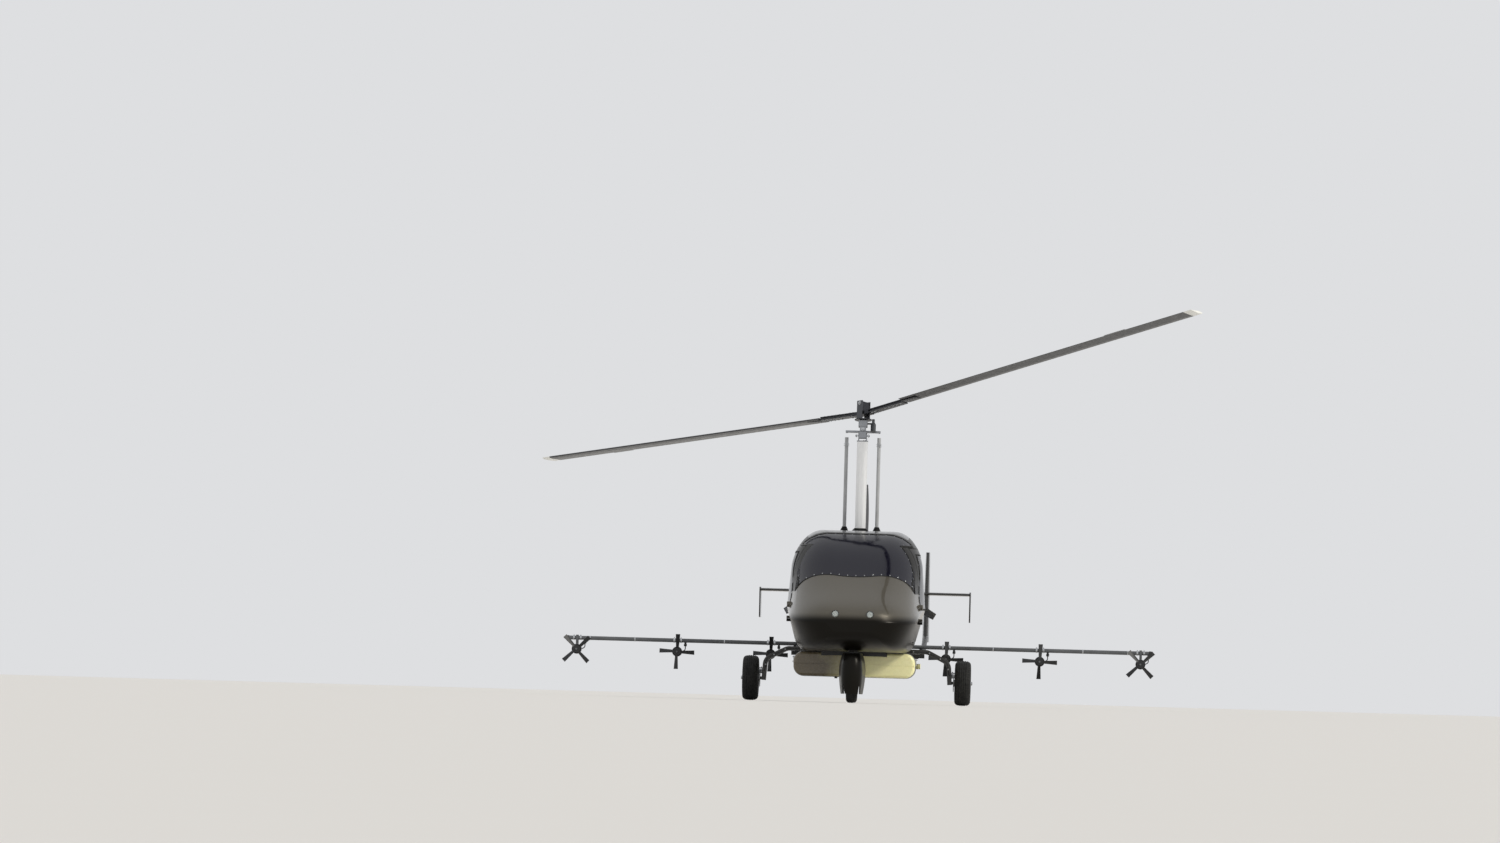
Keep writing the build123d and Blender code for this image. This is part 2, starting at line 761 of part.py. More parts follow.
# Teetering hub bar under its bolt, coned straps and blades
teeter = radians(rotor_teeter_rest)
teeter_origin = head_origin + shaft_dir * teeter_height
hub_x = blade_line * cos(teeter) + shaft_dir * sin(teeter)
hub_z = shaft_dir * cos(teeter) - blade_line * sin(teeter)
hub_plane = Plane(origin=teeter_origin, x_dir=hub_x, z_dir=hub_z)
hub_centre = teeter_origin - hub_z * undersling
hub_depth = tang_thickness + 2 * (strap_thickness + seat_gap)
blade_planes = []
for side in (1, -1):
    cone = radians(rotor_cone)
    out_dir = hub_x * (side * cos(cone)) + hub_z * sin(cone)
    up_dir = hub_z * cos(cone) - hub_x * (side * sin(cone))
    blade_planes.append(Plane(origin=hub_centre, x_dir=out_dir, z_dir=up_dir))

with BuildPart(hub_plane) as hub_block:
    with Locations((0, 0, -undersling)):
        Box(190, hub_width, hub_depth)
    with Locations((0, 0, -undersling / 2)):
        Box(60, hub_width, undersling + 28)
    Cylinder(teeter_bolt_r, hub_width + 2 * tower_plate + 30, rotation=(90, 0, 0))


def blade_straps(blade_plane):
    """The two plates that hold one blade's root, above and below it."""
    with BuildPart(blade_plane) as straps:
        for level in (1, -1):
            with Locations((300, 0, level * (hub_depth - strap_thickness) / 2)):
                Box(480, hub_width, strap_thickness)
    return straps.part


with BuildPart() as hub_bar:
    add(hub_block.part)
    for blade_plane in blade_planes:
        add(blade_straps(blade_plane))
hub_bar.part.label = "hub_bar"
export_step(hub_bar.part, "parts/hub_bar.step")


def blade_foil(blade_plane, low_r, high_r):
    """A length of rotor blade, its nose leading as the rotor turns."""
    nose = blade_plane.origin + blade_plane.x_dir * low_r + blade_plane.y_dir * (blade_chord * 0.3)
    foil_plane = Plane(origin=nose, x_dir=blade_plane.y_dir * -1, z_dir=blade_plane.x_dir)
    return foil_prism(foil_plane, blade_chord, blade_thickness, high_r - low_r)


def blade_tang(blade_plane):
    """The flat root of one blade, held between its straps."""
    with BuildPart(blade_plane) as tang:
        with Locations(((105 + blade_root_r + 20) / 2, 0, 0)):
            Box(blade_root_r + 20 - 105, tang_width, tang_thickness)
    return tang.part


with BuildPart() as rotor_blades:
    for blade_plane in blade_planes:
        add(blade_foil(blade_plane, blade_root_r, rotor_r - tip_cap))
        add(blade_tang(blade_plane))
rotor_blades.part.label = "rotor_blades"
export_step(rotor_blades.part, "parts/rotor_blades.step")

with BuildPart() as blade_tips:
    for blade_plane in blade_planes:
        add(blade_foil(blade_plane, rotor_r - tip_cap + seat_gap, rotor_r))
blade_tips.part.label = "blade_tips"
export_step(blade_tips.part, "parts/blade_tips.step")

# Main gear: one bow across the rails, an axle at each foot
with BuildPart() as main_gear_bow:
    with BuildSketch(Plane.XZ.offset(-main_axle_y)):
        with BuildLine():
            FilletPolyline(
                (-bow_end_x, main_tyre_r - 20),
                (-bow_foot_x, bow_foot_z),
                (-bow_knee_x, floor_z + bow_thickness / 2),
                (bow_knee_x, floor_z + bow_thickness / 2),
                (bow_foot_x, bow_foot_z),
                (bow_end_x, main_tyre_r - 20),
                radius=90,
            )
        trace(line_width=bow_thickness)
    extrude(amount=bow_chord / 2, both=True)
    for side in (1, -1):
        with Locations((side * (bow_end_x + track_half + 95) / 2, main_axle_y, main_tyre_r)):
            Cylinder(axle_r, track_half + 95 - bow_end_x, rotation=(0, 90, 0))
main_gear_bow.part.label = "main_gear_bow"
export_step(main_gear_bow.part, "parts/main_gear_bow.step")


def wheel_rim(centre, rim_r, width, bore_r, disc_r, inboard):
    """A rim with its hub and web, and a brake disc on the inboard side if it has one."""
    with BuildPart(Plane(origin=centre, x_dir=(0, 1, 0), z_dir=(1, 0, 0))) as rim:
        Cylinder(rim_r, width)
        Cylinder(rim_r - 12, width + 2, mode=Mode.SUBTRACT)
        Cylinder(rim_r - 5, 14)
        Cylinder(bore_r + 20, width + 16)
        if disc_r:
            with Locations((0, 0, inboard * (width / 2 + 20))):
                Cylinder(bore_r + 20, 24)
            with Locations((0, 0, inboard * (width / 2 + 28))):
                Cylinder(disc_r, 6)
        Cylinder(bore_r, 2 * width + 200, mode=Mode.SUBTRACT)
    return rim.part


def tyre(centre, outer_r, rim_r, width):
    """A tyre of flat facets with bevelled shoulders and beads, its axle along X."""
    axle_plane = Plane(origin=centre, x_dir=(0, 1, 0), z_dir=(1, 0, 0))
    with BuildPart() as ring:
        with BuildSketch(axle_plane.offset(-width / 2)):
            RegularPolygon(outer_r, tyre_facets)
            RegularPolygon(rim_r, tyre_facets, major_radius=False, mode=Mode.SUBTRACT)
        extrude(amount=width)
        walls = ring.faces().filter_by(Axis.X)
        shoulders = [edge for wall in walls for edge in wall.outer_wire().edges()]
        chamfer(shoulders, width * tyre_shoulder)
        walls = ring.faces().filter_by(Axis.X)
        beads = [edge for wall in walls for edge in wall.inner_wires()[0].edges()]
        chamfer(beads, width * tyre_bead)
    return ring.part


for side_name, side in (("left", 1), ("right", -1)):
    centre = (side * track_half, main_axle_y, main_tyre_r)
    rim = wheel_rim(centre, main_rim_r, main_tyre_width * 0.8, axle_r + run_gap, brake_disc_r, -side)
    rim.label = f"main_rim_{side_name}"
    export_step(rim, f"parts/main_rim_{side_name}.step")
    tyre_part = tyre(centre, main_tyre_r, main_rim_r, main_tyre_width)
    tyre_part.label = f"main_tyre_{side_name}"
    export_step(tyre_part, f"parts/main_tyre_{side_name}.step")

# Nose gear: steered fork in its spat, the wheel inside
nose_centre = (0, nose_axle_y, nose_tyre_r)
crown_low_z = 2 * nose_tyre_r + 16
crown_top_z = crown_low_z + 36
well_half = fork_inner_x + fork_plate + seat_gap
with BuildPart() as nose_fork:
    for side in (1, -1):
        with Locations((side * (fork_inner_x + fork_plate / 2), nose_axle_y, (nose_tyre_r - 26 + crown_top_z) / 2)):
            Box(fork_plate, 64, crown_top_z - nose_tyre_r + 26)
    with Locations((0, nose_axle_y - nose_trail / 2, (crown_low_z + crown_top_z) / 2)):
        Box(2 * (fork_inner_x + fork_plate), 64 + nose_trail, crown_top_z - crown_low_z)
    with Locations((0, stem_y, (crown_low_z + 10 + floor_z + 140) / 2)):
        Cylinder(stem_r, floor_z + 140 - crown_low_z - 10)
    with Locations((0, nose_axle_y, nose_tyre_r)):
        Cylinder(axle_r, 2 * (fork_inner_x + fork_plate), rotation=(0, 90, 0))
        Cylinder(tow_bore_r, 2 * (fork_inner_x + fork_plate), rotation=(0, 90, 0), mode=Mode.SUBTRACT)
nose_fork.part.label = "nose_fork"
export_step(nose_fork.part, "parts/nose_fork.step")

with BuildPart() as nose_spat:
    for level, width_share, length_share in spat_rows:
        nose_r = spat_half * width_share * 0.82
        with BuildSketch(Plane.XY.offset(level)):
            with Locations((0, nose_axle_y - spat_nose * length_share + nose_r)):
                Circle(nose_r)
            with Locations((0, nose_axle_y)):
                Circle(spat_half * width_share)
            with Locations((0, nose_axle_y + spat_tail * length_share - 14)):
                Circle(14)
            make_hull()
    loft()
    with Locations((0, nose_axle_y - 12, (spat_low_z + crown_top_z) / 2 - 50)):
        Box(2 * well_half, 2 * nose_tyre_r + 60, crown_top_z + 2 * seat_gap - spat_low_z + 100, mode=Mode.SUBTRACT)
    with Locations((0, stem_y, spat_top_z)):
        Cylinder(stem_r + seat_gap, 200, mode=Mode.SUBTRACT)
    with Locations((0, nose_axle_y, nose_tyre_r)):
        Cylinder(tow_hole_r, 400, rotation=(0, 90, 0), mode=Mode.SUBTRACT)
nose_spat.part.label = "nose_spat"
export_step(nose_spat.part, "parts/nose_spat.step")

nose_rim = wheel_rim(nose_centre, nose_rim_r, nose_tyre_width * 0.8, axle_r + run_gap, 0, 1)
nose_rim.label = "nose_rim"
export_step(nose_rim, "parts/nose_rim.step")
nose_tyre = tyre(nose_centre, nose_tyre_r, nose_rim_r, nose_tyre_width)
nose_tyre.label = "nose_tyre"
export_step(nose_tyre, "parts/nose_tyre.step")

# Belly tank in two straps, channelled over the rails
tank_mid_y = (tank_front_y + tank_back_y) / 2
tank_mid_z = (tank_low_z + tank_top_z) / 2
tank_height = tank_top_z - tank_low_z
with BuildPart() as belly_tank:
    with Locations((0, tank_mid_y, tank_mid_z)):
        Box(2 * tank_half, tank_back_y - tank_front_y, tank_height)
    fillet(belly_tank.edges().filter_by(Axis.Y), tank_height * 0.4)
    fillet(belly_tank.edges().group_by(Axis.Y)[0], 30)
    fillet(belly_tank.edges().group_by(Axis.Y)[-1], 30)
    with Locations([(x, tank_mid_y, rail_z + 50) for x in (-rail_x, rail_x)]):
        Box(rail_size + 6, 1000, rail_size + 106, mode=Mode.SUBTRACT)
    with Locations((tank_half + coupling_length / 2 - 30, tank_back_y - 110, tank_mid_z)):
        Cylinder(coupling_r, coupling_length + 60, rotation=(0, 90, 0))
belly_tank.part.label = "belly_tank"
export_step(belly_tank.part, "parts/belly_tank.step")

strap_y = (tank_front_y + 150, tank_back_y - 230)
with BuildPart() as tank_straps:
    for y in strap_y:
        with BuildSketch(Plane.XZ.offset(-y)):
            with Locations((0, tank_mid_z)):
                RectangleRounded(2 * tank_half + 8, tank_height + 8, tank_height * 0.4 + 4)
                RectangleRounded(
                    2 * (tank_half + seat_gap),
                    tank_height + 2 * seat_gap,
                    tank_height * 0.4 + seat_gap,
                    mode=Mode.SUBTRACT,
                )
            with Locations((0, tank_top_z)):
                Rectangle(2 * rail_x + rail_size + 2 * seat_gap, 100, mode=Mode.SUBTRACT)
        extrude(amount=22, both=True)
tank_straps.part.label = "tank_straps"
export_step(tank_straps.part, "parts/tank_straps.step")

with BuildPart() as spray_pump:
    pump_top_z = rail_z - rail_size / 2 - seat_gap
    with Locations((0, mast_y, pump_top_z - 55)):
        Box(150, 100, 110)
    with Locations((0, mast_y + 30, pump_top_z - 55)):
        Cylinder(48, 130, rotation=(90, 0, 0))
spray_pump.part.label = "spray_pump"
export_step(spray_pump.part, "parts/spray_pump.step")

# Spray boom on the tail booms, hangers and spindles below it, and the atomisers' rotors
with BuildPart() as spray_boom:
    with Locations((0, spray_y, spray_z)):
        Cylinder(spray_tube_r, 2 * spray_half, rotation=(0, 90, 0))
spray_boom.part.label = "spray_boom"
export_step(spray_boom.part, "parts/spray_boom.step")

atomiser_z = spray_z - atomiser_drop
spindle_r = 10
hanger_low_z = atomiser_z - 22
hanger_top_z = spray_z + spray_tube_r + 10
with BuildPart() as atomiser_hangers:
    for x in atomiser_x:
        with Locations((x, spray_y, (hanger_low_z + hanger_top_z) / 2)):
            Box(26, 56, hanger_top_z - hanger_low_z)
        with Locations((x, (spray_y + fan_y - 60) / 2, atomiser_z)):
            Cylinder(spindle_r, spray_y - fan_y + 60, rotation=(90, 0, 0))
    with Locations((0, spray_y, spray_z)):
        Cylinder(spray_tube_r + seat_gap, 2 * spray_half + 10, rotation=(0, 90, 0), mode=Mode.SUBTRACT)
atomiser_hangers.part.label = "atomiser_hangers"
export_step(atomiser_hangers.part, "parts/atomiser_hangers.step")

fan_stations = ((30, 40, 8, 48), (fan_r, 52, 3, 32))
for index, x in enumerate(atomiser_x):
    centre = Vector(x, fan_y - 25, atomiser_z)
    with BuildPart() as atomiser:
        with Locations((x, fan_y + 5, atomiser_z)):
            Cylinder(36, 90, rotation=(90, 0, 0))
        with Locations((x, fan_y + 20, atomiser_z)):
            Cylinder(48, 52, rotation=(90, 0, 0))
        for i in range(fan_blades):
            turn = radians(360 / fan_blades * i + (45 if abs(x) > 2000 else 0))
            along = Vector(sin(turn), 0, cos(turn))
            across = Vector(cos(turn), 0, -sin(turn))
            add(foil_through(blade_stations(centre, along, across, Vector(0, 1, 0), fan_stations)))
        with Locations((x, fan_y, atomiser_z)):
            Cylinder(spindle_r + run_gap, 300, rotation=(90, 0, 0), mode=Mode.SUBTRACT)
    atomiser.part.label = f"atomiser_{index + 1}"
    export_step(atomiser.part, f"parts/atomiser_{index + 1}.step")

# Tail booms, on the outriggers, rising to the fins
with BuildPart() as tail_booms:
    for side in (1, -1):
        with BuildLine(Plane.YZ.offset(side * tail_boom_x)) as boom_line:
            FilletPolyline(
                (tail_boom_front_y, tail_boom_z),
                (tail_boom_bend_y, tail_boom_z),
                tail_boom_end,
                radius=600,
            )
        with BuildSketch(Plane(origin=boom_line.line @ 0, z_dir=boom_line.line % 0)):
            Circle(tail_boom_r)
        sweep()
tail_booms.part.label = "tail_booms"
export_step(tail_booms.part, "parts/tail_booms.step")

# Tailplane with hanging tip plates, through the two fins
tailplane_plane = Plane(
    origin=(-tailplane_half, tailplane_back_y - tailplane_chord, tailplane_z), x_dir=(0, 1, 0), z_dir=(1, 0, 0)
)
with BuildPart() as tailplane:
    add(foil_prism(tailplane_plane, tailplane_chord, tailplane_thickness, 2 * tailplane_half))
    for side in (1, -1):
        with BuildSketch(Plane.YZ.offset(side * tailplane_half)):
            with BuildLine():
                FilletPolyline(
                    (tailplane_back_y - tailplane_chord - 20, tailplane_z + 26),
                    (tailplane_back_y + 15, tailplane_z + 26),
                    (tailplane_back_y + 15, tailplane_z - tip_plate_drop),
                    (tailplane_back_y - tailplane_chord + 40, tailplane_z - tip_plate_drop),
                    radius=22,
                    close=True,
                )
            make_face()
        extrude(amount=7, both=True)
tailplane.part.label = "tailplane"
export_step(tailplane.part, "parts/tailplane.step")

# Fins, each with a lug above and below its rudder and a pin at the hinge line
rudder_plate = 10
with BuildPart() as fins:
    for side in (1, -1):
        low = Plane(origin=(side * tail_boom_x, fin_back_y - fin_root_chord, fin_low_z), x_dir=(0, 1, 0), z_dir=(0, 0, 1))
        high = Plane(origin=(side * tail_boom_x, fin_back_y - fin_tip_chord, fin_top_z), x_dir=(0, 1, 0), z_dir=(0, 0, 1))
        add(foil_loft(low, fin_root_chord + 40, high, fin_tip_chord + 40, fin_thickness, fin_thickness * 0.6))
    with Locations((0, fin_back_y + 200, (fin_low_z + fin_top_z) / 2)):
        Box(3000, 400, 2000, mode=Mode.SUBTRACT)
    for side in (1, -1):
        for hinge_z, pin_z in (
            (rudder_low_z - 8, rudder_low_z + 8),
            (rudder_top_z + 8, rudder_top_z - 8),
        ):
            with Locations((side * tail_boom_x, (fin_back_y - 40 + rudder_hinge_y + 14) / 2, hinge_z)):
                Box(22, rudder_hinge_y + 14 - fin_back_y + 40, rudder_plate)
            with Locations((side * tail_boom_x, rudder_hinge_y, (hinge_z + pin_z) / 2)):
                Cylinder(5, 24)
    add(foil_prism(tailplane_plane, tailplane_chord, tailplane_thickness + 2 * seat_gap, 2 * tailplane_half), mode=Mode.SUBTRACT)
    with Locations((0, tailplane_back_y - tailplane_chord, tailplane_z)):
        Box(2000, 3, 12, mode=Mode.SUBTRACT)
    add(tail_booms.part, mode=Mode.SUBTRACT)
fins.part.label = "fins"
export_step(fins.part, "parts/fins.step")

for side_name, side in (("left", 1), ("right", -1)):
    with BuildPart() as rudder:
        with BuildSketch(Plane.XY.offset(rudder_low_z)):
            with Locations((side * tail_boom_x, rudder_hinge_y)):
                Circle(rudder_nose_r)
            with Locations((side * tail_boom_x, rudder_hinge_y + rudder_chord - 3)):
                Circle(3)
            make_hull()
        extrude(amount=rudder_top_z - rudder_low_z)
        with Locations((side * tail_boom_x, rudder_hinge_y, (rudder_low_z + rudder_top_z) / 2)):
            Cylinder(5 + run_gap, rudder_top_z - rudder_low_z + 20, mode=Mode.SUBTRACT)
    rudder.part.label = f"rudder_{side_name}"
    export_step(rudder.part, f"parts/rudder_{side_name}.step")
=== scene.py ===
"""A two-seat pusher gyrocopter with spray gear, dressed for a studio view.

Every operator makes one group of the craft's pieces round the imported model, which is
loaded once as a fixed frame. All lengths are metres in the model's own frame: the nose
points towards -Y, the craft's left side towards +X, and its wheels stand on Z 0.
"""

import json
import math

import bmesh
import bpy
from bpy.props import BoolProperty, FloatProperty, FloatVectorProperty, IntProperty, PointerProperty
from mathutils import Matrix, Vector
from mathutils.bvhtree import BVHTree

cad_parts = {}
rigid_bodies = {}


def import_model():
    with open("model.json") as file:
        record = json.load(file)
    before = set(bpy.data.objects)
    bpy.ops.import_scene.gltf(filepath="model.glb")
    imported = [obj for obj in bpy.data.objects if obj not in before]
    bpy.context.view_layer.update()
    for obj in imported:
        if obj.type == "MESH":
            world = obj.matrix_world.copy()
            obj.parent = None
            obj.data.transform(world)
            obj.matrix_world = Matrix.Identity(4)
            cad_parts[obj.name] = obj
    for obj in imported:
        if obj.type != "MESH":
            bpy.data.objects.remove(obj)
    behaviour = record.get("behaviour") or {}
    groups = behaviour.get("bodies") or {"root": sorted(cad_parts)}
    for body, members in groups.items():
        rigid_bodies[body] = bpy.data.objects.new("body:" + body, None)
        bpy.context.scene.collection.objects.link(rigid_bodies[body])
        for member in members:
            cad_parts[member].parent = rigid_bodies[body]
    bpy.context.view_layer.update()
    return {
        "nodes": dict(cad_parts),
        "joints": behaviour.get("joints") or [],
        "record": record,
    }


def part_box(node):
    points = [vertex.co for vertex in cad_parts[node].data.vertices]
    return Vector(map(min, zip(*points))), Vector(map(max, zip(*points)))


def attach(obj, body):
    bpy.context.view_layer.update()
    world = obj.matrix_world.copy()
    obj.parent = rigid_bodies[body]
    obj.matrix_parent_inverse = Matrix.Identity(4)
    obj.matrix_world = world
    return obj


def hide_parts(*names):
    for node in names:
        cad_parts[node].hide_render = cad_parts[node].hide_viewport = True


bl_info = {
    "name": "Spray gyrocopter",
    "version": (1, 0, 0),
    "blender": (4, 5, 0),
    "location": "View3D > Sidebar > Gyrocopter",
    "description": "Builds the finishes and fittings of a two-seat gyrocopter with spray gear",
    "category": "Object",
}

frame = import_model()

MM = 0.001
UP = Vector((0, 0, 1))
SIDES = (("left", 1), ("right", -1))
# Scale of a wave texture times the length of one of its waves
WAVE = 0.314
# The door windows on the side view: sill, top of the upright front edge, head, and their places along Y
WINDOW_SILL, WINDOW_RAKE, WINDOW_HEAD = 0.94, 1.03, 1.48
WINDOW_FRONT, WINDOW_HEAD_FRONT, WINDOW_BACK = -1.375, -1.041, -0.59
# Back and top of the added door posts, and the front of the hull's added skin behind the door gap
DOOR_BACK, DOOR_TOP = -0.5315, 1.538
HULL_OPENING_BACK = -0.5185


def srgb(text):
    """Turns an sRGB hex colour into linear values with alpha."""
    channels = [int(text[i : i + 2], 16) / 255 for i in (1, 3, 5)]
    return tuple(c / 12.92 if c <= 0.04045 else ((c + 0.055) / 1.055) ** 2.4 for c in channels) + (1.0,)


def colour_property(name, description, default):
    """A colour setting, given as sRGB hex."""
    return FloatVectorProperty(
        name=name, description=description, subtype="COLOR", size=4, min=0, max=1, default=srgb(default)
    )


def length_property(name, description, default):
    """A length setting in metres."""
    return FloatProperty(name=name, description=description, unit="LENGTH", min=0, default=default)


class GyroFinishSettings(bpy.types.PropertyGroup):
    """Colours of the craft's finishes."""

    body: colour_property("Body enamel", "Dark bronze metallic enamel of cabin, doors and cowl", "#4a453a")
    roof: colour_property("Roof enamel", "Near-black enamel of the roof panel", "#16161d")
    glass: colour_property("Window tint", "Smoked tint of windscreen and door windows", "#17162a")
    mast: colour_property("Mast anodising", "Clear anodised alloy of the mast", "#f3f4f5")
    # The tank colour is the sunlit tone of the tank's left end; the tank material paints shade from it towards
    # the right end
    tank: colour_property("Tank plastic", "Natural polyethylene of the belly tank", "#fbf6bd")
    blade: colour_property("Blade paint", "Charcoal satin paint of the rotor blades", "#2b2c30")
    tip: colour_property("Blade tip paint", "White gloss paint of the blade tips", "#e9e9e4")
    boom: colour_property("Boom paint", "Grey satin paint of the spray boom", "#55575a")
    structure: colour_property(
        "Frame coating", "Black powder coating of the keel frame and tail booms", "#2a2b2c"
    )
    tail: colour_property("Tail enamel", "Dark enamel of fins, rudders and tailplane", "#1d1c1b")
    rubber: colour_property("Tyre rubber", "Worn black rubber of the tyres", "#1d1d1c")


class GyroSizeSettings(bpy.types.PropertyGroup):
    """Sizes of fittings that a user may change."""

    tread_depth: length_property("Tread depth", "Depth of the tyres' ring grooves", 5 * MM)
    tread_grooves: IntProperty(
        name="Tread grooves", description="Ring grooves round each tyre", min=0, max=7, default=4
    )
    gasket: length_property("Window gasket", "Thickness of the rubber round the windows", 9 * MM)
    bolt_head: length_property("Bolt heads", "Width across the flats of the head's bolts", 17 * MM)
    gauze_wire: length_property("Gauze wire", "Wire thickness of the atomisers' cages", 1.6 * MM)
    gear_teeth: IntProperty(
        name="Ring gear teeth", description="Teeth round the starter ring", min=24, max=160, default=96
    )


class GyroStageSettings(bpy.types.PropertyGroup):
    """The camera's place, and the stage round the craft."""

    distance: length_property("Camera distance", "From the main wheels' middle to the camera", 100.0)
    azimuth: FloatProperty(
        name="Camera azimuth",
        description="Turn towards the craft's left side",
        subtype="ANGLE",
        default=math.radians(1.5),
    )
    roll: FloatProperty(
        name="Camera roll",
        description="The craft's lean to the right in the picture",
        subtype="ANGLE",
        default=math.radians(1.6),
    )
    camera_height: length_property("Camera height", "Lens above the floor", 0.06)
    background: colour_property("Background", "Pale grey of sky and backdrop", "#dedfe1")
    floor: colour_property("Floor", "Pale grey of the floor", "#e3e1de")
    catch_light: BoolProperty(
        name="Side sun", description="Adds the soft sun from the craft's left", default=True
    )


def add_node(tree, kind, values=None, links=None, **attributes):
    """Adds a shader node, sets its attributes and input values, and links its inputs."""
    new = tree.nodes.new(kind)
    for name, value in attributes.items():
        setattr(new, name, value)
    for name, value in (values or {}).items():
        new.inputs[name].default_value = value
    for name, output in (links or {}).items():
        tree.links.new(output, new.inputs[name])
    return new


def start_material(name, colour, metallic, roughness, **extra):
    """A material with one surface shader, set on its own sockets, and object coordinates."""
    material = bpy.data.materials.new(name)
    material.use_nodes = True
    tree = material.node_tree
    tree.nodes.clear()
    surface = add_node(
        tree,
        "ShaderNodeBsdfPrincipled",
        {"Base Color": colour, "Metallic": metallic, "Roughness": roughness},
    )
    for socket, value in extra.items():
        surface.inputs[socket.replace("_", " ")].default_value = value
    add_node(tree, "ShaderNodeOutputMaterial", links={"Surface": surface.outputs["BSDF"]})
    place = add_node(tree, "ShaderNodeTexCoord")
    material.diffuse_color = colour
    return material, tree, surface, place.outputs["Object"]


def vary_colour(tree, surface, factor, dark, light, low=0.35, high=0.65):
    """Runs a pattern's value between two colours into the base colour."""
    ramp = add_node(tree, "ShaderNodeMapRange", {"From Min": low, "From Max": high}, {"Value": factor})
    # The colour mix keeps its colours in sockets 6 and 7, and gives them out in socket 2
    mix = add_node(
        tree, "ShaderNodeMix", {6: dark, 7: light}, {0: ramp.outputs["Result"]}, data_type="RGBA"
    )
    tree.links.new(mix.outputs[2], surface.inputs["Base Color"])


def vary_roughness(tree, surface, factor, low, high):
    """Runs a pattern's value into the roughness."""
    ramp = add_node(
        tree,
        "ShaderNodeMapRange",
        {"From Min": 0.3, "From Max": 0.7, "To Min": low, "To Max": high},
        {"Value": factor},
    )
    tree.links.new(ramp.outputs["Result"], surface.inputs["Roughness"])


def raise_surface(tree, surface, height, depth):
    """Bump of a real depth in metres."""
    bump = add_node(tree, "ShaderNodeBump", {"Strength": 1.0, "Distance": depth}, {"Height": height})
    tree.links.new(bump.outputs["Normal"], surface.inputs["Normal"])


def shade(colour, amount):
    """The same colour made darker or lighter by a factor."""
    return tuple(min(1.0, c * amount) for c in colour[:3]) + (1.0,)


def noise(tree, where, size, detail=3.0, roughness=0.5):
    """A noise whose features are about the given size in metres."""
    return add_node(
        tree,
        "ShaderNodeTexNoise",
        {"Scale": 1.0 / size, "Detail": detail, "Roughness": roughness},
        {"Vector": where},
    ).outputs["Fac"]


def above(tree, value, low, high):
    """Zero below one value and one above the other, smooth between them."""
    ramp = add_node(
        tree,
        "ShaderNodeMapRange",
        {"From Min": low, "From Max": high},
        {"Value": value},
        interpolation_type="SMOOTHSTEP",
    )
    return ramp.outputs["Result"]


def math_node(tree, operation, first, second):
    """One step of arithmetic on links or numbers."""
    given = {0: first, 1: second}
    links = {i: v for i, v in given.items() if not isinstance(v, (int, float))}
    values = {i: v for i, v in given.items() if i not in links}
    return add_node(tree, "ShaderNodeMath", values, links, operation=operation).outputs["Value"]


def metallic_enamel(name, colour, metallic=0.45, roughness=0.30):
    """Sprayed two-coat enamel under a hard clear coat, near-black round the glass, and near-black below the
    waist, where the black is painted shade standing in for the dark ground's reflection.
    """
    material, tree, surface, where = start_material(
        name, colour, metallic, roughness, Coat_Weight=0.7, Coat_Roughness=0.03, Coat_IOR=1.5
    )
    # Real flakes are about 0.1 mm and can't show from here, so they are drawn at 2.5 mm
    flakes = add_node(
        tree, "ShaderNodeTexVoronoi", {"Scale": 1 / (2.5 * MM)}, {"Vector": where}
    ).outputs["Distance"]
    spread = above(tree, flakes, 0.1, 0.7)
    bronze = add_node(
        tree,
        "ShaderNodeMix",
        {6: shade(colour, 0.86), 7: shade(colour, 1.22)},
        {0: spread},
        data_type="RGBA",
    )
    place = add_node(tree, "ShaderNodeSeparateXYZ", links={"Vector": where})
    x, y, z = (place.outputs[i] for i in range(3))
    # The black band starts behind the windscreen's lower edge, which bows back from the middle
    edge = math_node(tree, "MULTIPLY", math_node(tree, "MULTIPLY", x, x), -0.46)
    behind = above(tree, math_node(tree, "ADD", edge, y), -1.70, -1.69)
    band = math_node(tree, "MULTIPLY", behind, above(tree, z, 1.08, 1.09))
    # Below the waist the bronze gives way to the near-black: painted shade that stands in for dark ground
    # reflected in the lower hull
    waist = above(tree, z, 0.80, 0.88)
    bright = math_node(tree, "MULTIPLY", waist, math_node(tree, "SUBTRACT", 1.0, band))
    # The near-black is both the real black band round the glass and the painted shade below the waist
    black = srgb("#15130f")
    mix = add_node(tree, "ShaderNodeMix", {6: black}, {0: bright, 7: bronze.outputs[2]}, data_type="RGBA")
    tree.links.new(mix.outputs[2], surface.inputs["Base Color"])
    # Where the near-black shows, round the glass and in the painted shade below the waist, the clear coat and
    # the shine fade out with the bronze
    tree.links.new(math_node(tree, "MULTIPLY", bright, 0.7), surface.inputs["Coat Weight"])
    shine = math_node(tree, "ADD", math_node(tree, "MULTIPLY", bright, 0.3), 0.2)
    tree.links.new(shine, surface.inputs["Specular IOR Level"])
    # Orange peel of a sprayed coat, features near 9 mm
    raise_surface(tree, surface, noise(tree, where, 9 * MM, 1.0), 0.02 * MM)
    return material


def plain_enamel(name, colour, roughness=0.22, coat=0.6):
    """Solid gloss enamel: even colour, a soft clear gloss and slight road dust."""
    material, tree, surface, where = start_material(
        name, colour, 0.0, roughness, Coat_Weight=coat, Coat_Roughness=0.06
    )
    vary_colour(tree, surface, noise(tree, where, 180 * MM, 5.0), shade(colour, 0.9), shade(colour, 1.12))
    vary_roughness(tree, surface, noise(tree, where, 60 * MM, 4.0), roughness * 0.8, roughness * 1.5)
    raise_surface(tree, surface, noise(tree, where, 8 * MM, 1.0), 0.02 * MM)
    return material


def smoked_glass(name, colour):
    """Tinted acrylic windows, a little hazed, and so dark through their thickness that little shows inside."""
    material, tree, surface, where = start_material(
        name, colour, 0.0, 0.11, IOR=1.49, Transmission_Weight=0.55, Specular_IOR_Level=0.2
    )
    vary_roughness(tree, surface, noise(tree, where, 35 * MM, 6.0), 0.09, 0.14)
    return material


